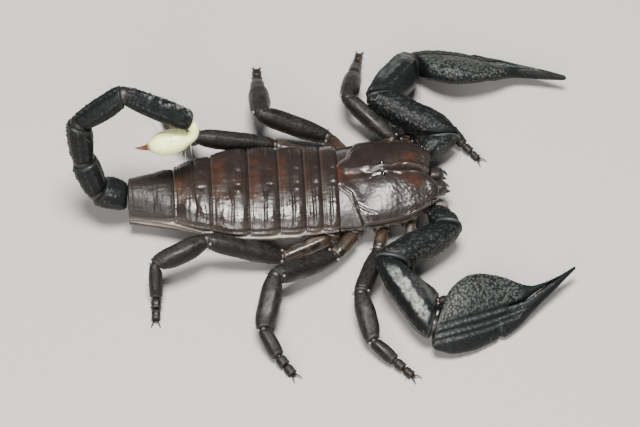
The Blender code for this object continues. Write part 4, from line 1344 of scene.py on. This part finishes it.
telson = {
    "stingAngle": -167, "neckBend": 1.1, "neckDrop": 0.45, "vesicleLength": 5.0, "aculeusLength": 1.7,
    "radii": ((0, 0.6), (1.3, 0.63), (2.35, 0.74), (2.67, 0.9), (3.17, 1.2), (3.92, 1.44), (4.92, 1.57),
              (5.92, 1.5), (6.82, 1.15), (7.35, 0.8), (7.67, 0.46), (8.1, 0.32), (8.7, 0.2), (9.3, 0.06),
              (9.37, 0.03)),
    "rings": 120, "pointsAround": 64,
}


def telsonPath():
    # the neck curls back under the fifth segment, then the vesicle runs straight
    first, last = tail["angles"][-1], telson["stingAngle"]
    neck = math.radians(first - last) * telson["neckBend"]
    total = neck + telson["vesicleLength"] + telson["aculeusLength"]
    point = tailJoints()[-1] + inArch(first) * (gap - 0.2) - inArch(first + 90) * telson["neckDrop"]
    path = []
    steps = telson["rings"]
    for index in range(steps + 1):
        distance = total * index / steps
        sting = max(distance - neck - telson["vesicleLength"], 0) / telson["aculeusLength"]
        angle = first + (last - first) * min(distance / neck, 1) - 22 * sting
        along = inArch(angle)
        path.append((point, along, distance))
        point = point + along * (total / steps)
    return path


def telsonRing(step, places):
    point, along, distance = step
    radius = curveThrough(distance, telson["radii"])
    up = along.cross(tailSide)
    return [point + tailSide * (radius * across) + up * (radius * lift) for across, lift in places]


def telsonRelief(point, along, across, up):
    sting = smoothStep(along, 7.15, 8.0)
    blush = 0.2 * smoothStep(along, 6.2, 7.2)
    speck = smoothStep(beads(point + Vector((3, 1, 2)), 1.05), 0.965, 0.985) * (along < 7) * 0.8
    depth = 0.03 * unevenness(point, 1.4) * (1 - sting)
    groove = ridge(across, 0.32, 0.09) + ridge(across, -0.32, 0.09)
    depth -= 0.05 * groove * (up < 0) * ridge(along, 4.6, 1.4)
    depth -= 0.12 * ridge(along, 2.5, 0.28) * smoothStep(-up, 0, 0.7)
    return depth, 0.8 * (1 - sting), sting + blush + speck, 0.4


def buildTail():
    joints = tailJoints()
    for number, plan in enumerate(tailPlans(), start=1):
        relief = tailRelief(number, plan["length"])
        shapes = [(limbShape(plan, tail["ringSpacing"], relief), 0)]
        if number < len(joints) - 1:
            shapes.append((ballShape(joints[number], 0.42 * tail["widths"][number], (1, 1, 1), 14), 1))
        finishPiece(f"tail_segment_{number}", shapes, ["granularBlackShell", "jointMembrane"],
                    [f"metasoma_{number}"])
    places = roundSection(telson["pointsAround"])
    path = telsonPath()
    rings = [telsonRing(step, places) for step in path]
    marks = [[(distance, across, lift) for across, lift in places] for _, _, distance in path]
    vesicle = ringSkin(rings, marks)
    carve(vesicle, telsonRelief)
    finishPiece("telson_vesicle", [(vesicle, 0)], ["creamTelson"], ["telson"])


# mouthparts and underside

mouth = {
    "start": (9.7, 1.08, 3.35), "end": (13.7, 1.05, 3.05), "halves": (0.98, 0.88),
    "outline": ((0, 0.5), (0.1, 0.85), (0.4, 1), (0.75, 1), (0.92, 0.85), (0.98, 0.6), (1, 0.3)),
    "ringSpacing": 0.1, "pointsAround": 60,
    # each finger's place aside, its reach, its drop, its bow and how far its tip comes in
    "fingers": ((0.5, 1.0, 0.5, 0.25, 0.35), (-0.45, 0.85, 0.45, -0.1, -0.05)),
}


def mouthRelief(point, along, across, up):
    front = smoothStep(along, 2.6, 3.6)
    grain = beads(point, 0.3) * (0.3 + 0.7 * front)
    return 0.04 * grain + 0.04 * unevenness(point, 0.8), 0.15 * grain, 0.0, 0.3


def buildMouth():
    section = roundSection(mouth["pointsAround"], 2.6)
    for side, sign in sides.items():
        start, end = (turned(x, y * sign, z) for x, y, z in (mouth["start"], mouth["end"]))
        along = (end - start).normalized()
        halfAt = outlined(*mouth["halves"], mouth["outline"])
        plan = limbPlan(start, end, sideways(along), halfAt, section)
        shapes = [(limbShape(plan, mouth["ringSpacing"], mouthRelief), 0)]
        level = Vector((0, sign, 0))
        for aside, reach, drop, bow, inward in mouth["fingers"]:
            root = end - along * 0.5 + level * aside
            middle = root + along * reach * 0.8 + level * bow
            tip = root + along * reach - level * inward - Vector((0, 0, drop))
            points = arcPoints(root, middle, tip, 12)
            shapes.append((pathShape(points, [0.36 - 0.028 * index for index in range(12)], 14), 1))
        finishPiece(f"chelicera_claw_{side}", shapes, ["glossyBrownShell", "hornClaw"],
                    [f"chelicera_{side}"])


# each coxa's inner end as (x, y, z), then its half width and half height
coxae = {
    1: ((6.6, 0.75, 2.15), 1.05, 0.85), 2: ((4.3, 0.75, 2.1), 1.15, 0.9),
    3: ((2.1, 1.9, 2.1), 1.2, 0.9), 4: ((0.3, 2.0, 2.1), 1.3, 0.9),
    "palp": ((9.6, 1.0, 2.05), 1.0, 0.7), "lobes": ((5.2, 0.62, 8.9), (3.4, 0.66, 6.5)),
    "outline": ((0, 0.45), (0.05, 0.72), (0.2, 0.92), (0.6, 1), (0.9, 0.92), (0.97, 0.78), (1, 0.45)),
    "lobeHalves": (0.52, 0.62), "lobeHeight": 1.95, "ringSpacing": 0.16, "pointsAround": 48,
}
# half of each plate's outline, and the heights of its two faces
bellyPlates = {
    "sternum": (((0.35, 1.2), (1.6, 1.3), (2.6, 1.2), (3.3, 0.7)), 1.3, 2.6),
    "operculum": (((0.2, 1.2), (-0.6, 1.35), (-1.3, 1.1), (-1.6, 0.6)), 1.45, 2.2),
}
combs = {
    "spine": ((-2.3, 0.4), (-2.45, 1.1), (-2.8, 1.8), (-3.5, 2.4)), "height": 1.8, "rings": 19,
    "teeth": 11, "toothLength": 0.75, "toothRadii": (0.1, 0.125, 0.13, 0.13, 0.1, 0.03),
}


def coxaRelief(point, along, across, up):
    edge = ridge(abs(across), 0.85, 0.2)
    return 0.05 * unevenness(point, 0.9), 0.25 * edge, 0.35 + 0.6 * unevenness(point, 1.6), 0.5


def buildCoxae():
    section = roundSection(coxae["pointsAround"], 2.8)
    for side, sign in sides.items():
        shapes, rods = [], []
        ends = {number: (*place, legs["hipHeight"]) for number, place in legs["hips"].items()}
        ends["palp"] = palps["root"]
        for key, (x, y, z) in ends.items():
            (x0, y0, z0), halfWidth, halfHeight = coxae[key]
            start = turned(x0, y0 * sign, z0)
            end = turned(x, (y + 0.15) * sign, z)
            rods.append((start, end, (halfWidth, halfHeight)))
        for rear, y, front in coxae["lobes"]:
            start, end = (turned(x, y * sign, coxae["lobeHeight"]) for x in (rear, front))
            rods.append((start, end, coxae["lobeHalves"]))
        for start, end, halves in rods:
            halfAt = outlined(*halves, coxae["outline"])
            plan = limbPlan(start, end, sideways((end - start).normalized()), halfAt, section)
            shapes.append((limbShape(plan, coxae["ringSpacing"], coxaRelief), 0))
        finishPiece(f"coxa_row_{side}", shapes, ["amberCoxa"], [f"coxae_{side}"])


def plateShape(outline, low, high, place, rounding=0.14):
    # a flat plate from its half plan, extruded up and bevelled round its edges
    shape = bmesh.new()
    for name in markNames:
        shape.verts.layers.float.new(name)
    corners = [(x, y) for x, y in outline] + [(x, -y) for x, y in outline[::-1]]
    face = shape.faces.new([shape.verts.new(place(x, y, low)) for x, y in corners])
    made = bmesh.ops.extrude_face_region(shape, geom=[face])
    lifted = [item for item in made["geom"] if isinstance(item, bmesh.types.BMVert)]
    bmesh.ops.translate(shape, vec=(0, 0, high - low), verts=lifted)
    bmesh.ops.recalc_face_normals(shape, faces=shape.faces[:])
    bmesh.ops.bevel(shape, geom=shape.edges[:], offset=rounding, offset_type="OFFSET", segments=4,
                    profile=0.5, affect="EDGES", material=-1)
    return shape


def buildBellyPlates():
    sternum = plateShape(*bellyPlates["sternum"], turned)
    finishPiece("sternum_plate", [(sternum, 0)], ["amberCoxa"], ["sternum"])
    operculum = plateShape(*bellyPlates["operculum"], lambda *point: point)
    finishPiece("operculum_plate", [(operculum, 0)], ["glossyBrownShell"],
                ["genital_operculum"])
    for side, sign in sides.items():
        spine = [Vector((x, (y + 0.02) * sign, combs["height"])) for x, y in combs["spine"]]
        ways = tuple((index, point.x) for index, point in enumerate(spine))
        across = tuple((index, point.y) for index, point in enumerate(spine))
        line = [Vector((curveThrough(index / 6, ways), curveThrough(index / 6, across), combs["height"]))
                for index in range(combs["rings"])]
        shapes = [(pathShape(line, [0.34 - 0.006 * index for index in range(combs["rings"])], 12, 0.8), 0)]
        for tooth in range(combs["teeth"]):
            t = 0.15 + 2.75 * tooth / (combs["teeth"] - 1)
            root = Vector((curveThrough(t, ways) - 0.2, curveThrough(t, across), 1.72))
            tip = root + Vector((-combs["toothLength"], 0.1 * sign, 0.0))
            shapes.append((pathShape(arcPoints(root, (root + tip) / 2, tip, 6), combs["toothRadii"], 8), 0))
        finishPiece(f"comb_{side}", shapes, ["pleatedMembrane"], [f"pectine_{side}"])


# bristles

bristles = {
    "patch": 0.003, "bend": 0.22, "sides": 5, "span": (0.15, 0.95),
    "telson": {"count": 30, "length": (0.8, 2.6), "radius": 0.036, "rings": (30, 90)},
    "tail": {"count": 16, "length": (0.4, 1.1), "radius": 0.028},
    "leg": {"count": (4, 8, 10, 12, 10, 9), "length": (0.3, 0.8), "radius": 0.024},
    "palp": {"count": {"trochanter": 8, "femur": 16, "patella": 16, "hand": 34, "finger": 18},
             "length": (0.35, 1.0), "radius": 0.025},
    "mouth": {"count": 26, "length": (0.35, 0.9), "radius": 0.026, "ahead": 13.1, "aside": 1.9},
}


def bristleTemplate():
    # one thread a unit long, five-sided and drawn to a tip; its map is one small patch
    shape = bmesh.new()
    bmesh.ops.create_circle(shape, cap_ends=True, segments=bristles["sides"], radius=1)
    face = shape.faces[:][0]
    inside = []
    for height, radius in ((0.35, 0.85), (0.7, 0.55), (1.0, 0.12)):
        made = bmesh.ops.extrude_face_region(shape, geom=[face])
        face = next(item for item in made["geom"] if isinstance(item, bmesh.types.BMFace))
        for index, vert in enumerate(face.verts):
            turn = 2 * math.pi * index / bristles["sides"]
            vert.co = (radius * math.cos(turn), radius * math.sin(turn), height)
        inside.append(face)
    bmesh.ops.delete(shape, geom=inside[:-1], context="FACES_ONLY")
    bmesh.ops.recalc_face_normals(shape, faces=shape.faces[:])
    layer = shape.loops.layers.uv.new("OFBake")
    for face in shape.faces:
        for loop in face.loops:
            turn = math.atan2(loop.vert.co.y, loop.vert.co.x) / (2 * math.pi) + 0.5
            loop[layer].uv = (turn * bristles["patch"], loop.vert.co.z * bristles["patch"])
    mesh = bpy.data.meshes.new("thread")
    shape.to_mesh(mesh)
    shape.free()
    return mesh


def growBristles(name, roots, finish):
    # a root is (point, way, length, radius, place on the skin's unwrap)
    template = bristleTemplate()
    whole = bmesh.new()
    draw = random.Random(name)
    for point, way, length, radius, (u, v) in roots:
        vertsBefore, facesBefore = len(whole.verts), len(whole.faces)
        whole.from_mesh(template)
        whole.verts.ensure_lookup_table()
        whole.faces.ensure_lookup_table()
        side = way.orthogonal().normalized()
        up = way.cross(side)
        lean = side * draw.uniform(-1, 1) + up * draw.uniform(-1, 1)
        for vert in whole.verts[vertsBefore:]:
            a, b, height = vert.co
            bent = lean * (bristles["bend"] * length * height * height)
            vert.co = point + side * (a * radius) + up * (b * radius) + way * (height * length) + bent
            vert.co.z = max(vert.co.z, 0.0)
        layer = whole.loops.layers.uv["OFBake"]
        for face in whole.faces[facesBefore:]:
            for loop in face.loops:
                loop[layer].uv = (loop[layer].uv[0] + u, loop[layer].uv[1] + v)
    bpy.data.meshes.remove(template)
    finishPiece(name, [(whole, 0)], [finish])


def limbRoots(plan, count, lengths, radius, draw, row, rows, facing=None):
    # random places on a limb's surface; a limb has its own row of the unwrap
    roots = []
    section = plan["section"]
    while len(roots) < count:
        share = draw.uniform(*bristles["span"])
        index = draw.randrange(len(section))
        if facing and not facing(section[index]):
            continue
        point = limbPoint(plan, share, section[index])
        out = (point - limbPoint(plan, share, (0, 0))).normalized()
        way = (out + plan["along"] * draw.uniform(0.2, 0.7)).normalized()
        place = (0.02 + 0.95 * share, (row + 0.1 + 0.8 * index / len(section)) / rows)
        roots.append((point - out * 0.06, way, draw.uniform(*lengths), radius, place))
    return roots


def buildBristles():
    draw = random.Random(41)
    plan = bristles["tail"]
    roots = []
    joints = tailJoints()
    for row, limb in enumerate(tailPlans()):
        roots += limbRoots(limb, plan["count"], plan["length"], plan["radius"], draw, row, len(joints) - 1,
                           lambda place: abs(place[0]) > 0.6 or place[1] > 0.6)
    growBristles("tail_bristles", roots, "rustBristle")

    plan = bristles["telson"]
    path = telsonPath()
    roots = []
    for _ in range(plan["count"]):
        index = draw.randrange(*plan["rings"])
        point, along, distance = path[index]
        turn = draw.uniform(0, 2 * math.pi)
        out = tailSide * math.cos(turn) + along.cross(tailSide) * math.sin(turn)
        radius = curveThrough(distance, telson["radii"])
        way = (out + along * draw.uniform(0.0, 0.6)).normalized()
        place = (0.02 + 0.95 * index / len(path), 0.02 + 0.95 * turn / (2 * math.pi))
        root = point + out * (radius - 0.08)
        roots.append((root, way, draw.uniform(*plan["length"]), plan["radius"], place))
    growBristles("telson_bristles", roots, "paleBristle")

    plan = bristles["leg"]
    roots = []
    rows = len(legs["poses"]) * len(plan["count"])
    for legIndex, (side, number) in enumerate(legs["poses"]):
        for part, limb in enumerate(legPlans(side, number)):
            row = legIndex * len(plan["count"]) + part
            roots += limbRoots(limb, plan["count"][part], plan["length"], plan["radius"], draw, row, rows)
    growBristles("leg_bristles", roots, "rustBristle")

    plan = bristles["palp"]
    roots = []
    row, rows = 0, len(sides) * len(plan["count"])
    for side in sides:
        for part, limb in palpPlans(side).items():
            roots += limbRoots(limb, plan["count"][part], plan["length"], plan["radius"], draw, row, rows,
                               lambda place: abs(place[0]) > 0.7)
            row += 1
    growBristles("palp_bristles", roots, "rustBristle")

    plan = bristles["mouth"]
    roots = []
    for _ in range(plan["count"]):
        y = draw.uniform(-plan["aside"], plan["aside"])
        point = turned(plan["ahead"], y, draw.uniform(2.5, 3.3))
        way = Vector((1, draw.uniform(-0.3, 0.3), draw.uniform(-0.7, 0.1))).normalized()
        place = (0.5 + 0.4 * y / plan["aside"], 0.1 + 0.8 * draw.random())
        roots.append((point, way, draw.uniform(*plan["length"]), plan["radius"], place))
    growBristles("mouth_bristles", roots, "rustBristle")


# the studio

studio = {
    "cameraPlace": (-14.05, -228.32, 271.89), "cameraHeading": 87, "cameraDrop": 50, "lens": 158.88,
    "sensorWidth": 36, "nearest": 0.01, "farthest": 20,
    "floorSize": 3.0, "floorColour": (0.45, 0.44, 0.425),
    "worldColour": (0.85, 0.9, 1.0), "worldStrength": 0.13, "lightTarget": (0, 0, 3),
    # place, size, watts and colour of each soft light
    "lights": {
        "overheadSoftbox": ((-5, -40, 420), 170, 4.6, (1.0, 0.98, 0.95)),
        "cameraFill": ((-120, -430, 290), 300, 2.6, (1.0, 0.97, 0.94)),
    },
}


def buildFloor():
    shape = bmesh.new()
    bmesh.ops.create_grid(shape, x_segments=8, y_segments=8, size=studio["floorSize"] / 2)
    mesh = bpy.data.meshes.new("studioFloor")
    shape.to_mesh(mesh)
    shape.free()
    finish = bpy.data.materials.new("studioFloor")
    finish.use_nodes = True
    shader = finish.node_tree.nodes["Principled BSDF"]
    shader.inputs["Base Color"].default_value = (*studio["floorColour"], 1)
    shader.inputs["Roughness"].default_value = 0.85
    mesh.materials.append(finish)
    floor = bpy.data.objects.new("studioFloor", mesh)
    bpy.context.scene.collection.objects.link(floor)


def buildLights():
    target = toFrame @ Vector(studio["lightTarget"])
    for name, (place, size, watts, colour) in studio["lights"].items():
        light = bpy.data.lights.new(name, "AREA")
        light.shape = "DISK"
        light.size = size * mm
        light.energy = watts
        light.color = colour
        lamp = bpy.data.objects.new(name, light)
        lamp.location = toFrame @ Vector(place)
        lamp.rotation_euler = (target - lamp.location).to_track_quat("-Z", "Y").to_euler()
        bpy.context.scene.collection.objects.link(lamp)
    world = bpy.data.worlds.new("studioWorld")
    world.use_nodes = True
    background = world.node_tree.nodes["Background"]
    background.inputs["Color"].default_value = (*studio["worldColour"], 1)
    background.inputs["Strength"].default_value = studio["worldStrength"]
    bpy.context.scene.world = world


def buildCamera():
    camera = bpy.data.cameras.new("studioCamera")
    camera.lens = studio["lens"]
    camera.sensor_width = studio["sensorWidth"]
    camera.clip_start = studio["nearest"]
    camera.clip_end = studio["farthest"]
    holder = bpy.data.objects.new("studioCamera", camera)
    holder.location = toFrame @ Vector(studio["cameraPlace"])
    looking = direction(studio["cameraHeading"], -studio["cameraDrop"])
    holder.rotation_euler = looking.to_track_quat("-Z", "Y").to_euler()
    bpy.context.scene.collection.objects.link(holder)
    bpy.context.scene.camera = holder


buildTergites()
buildSternites()
print("trunk plates built")
buildSkin()
buildCarapace()
buildEyes()
print("skin, carapace and eyes built")
buildCoxae()
buildBellyPlates()
buildMouth()
print("mouthparts and underside built")
for legSide, legNumber in legs["poses"]:
    buildLeg(legSide, legNumber)
print("legs built")
for palpSide in sides:
    buildPalp(palpSide)
print("pedipalps built")
buildTail()
print("tail and telson built")
buildBristles()
print("bristles grown")
buildFloor()
buildLights()
buildCamera()
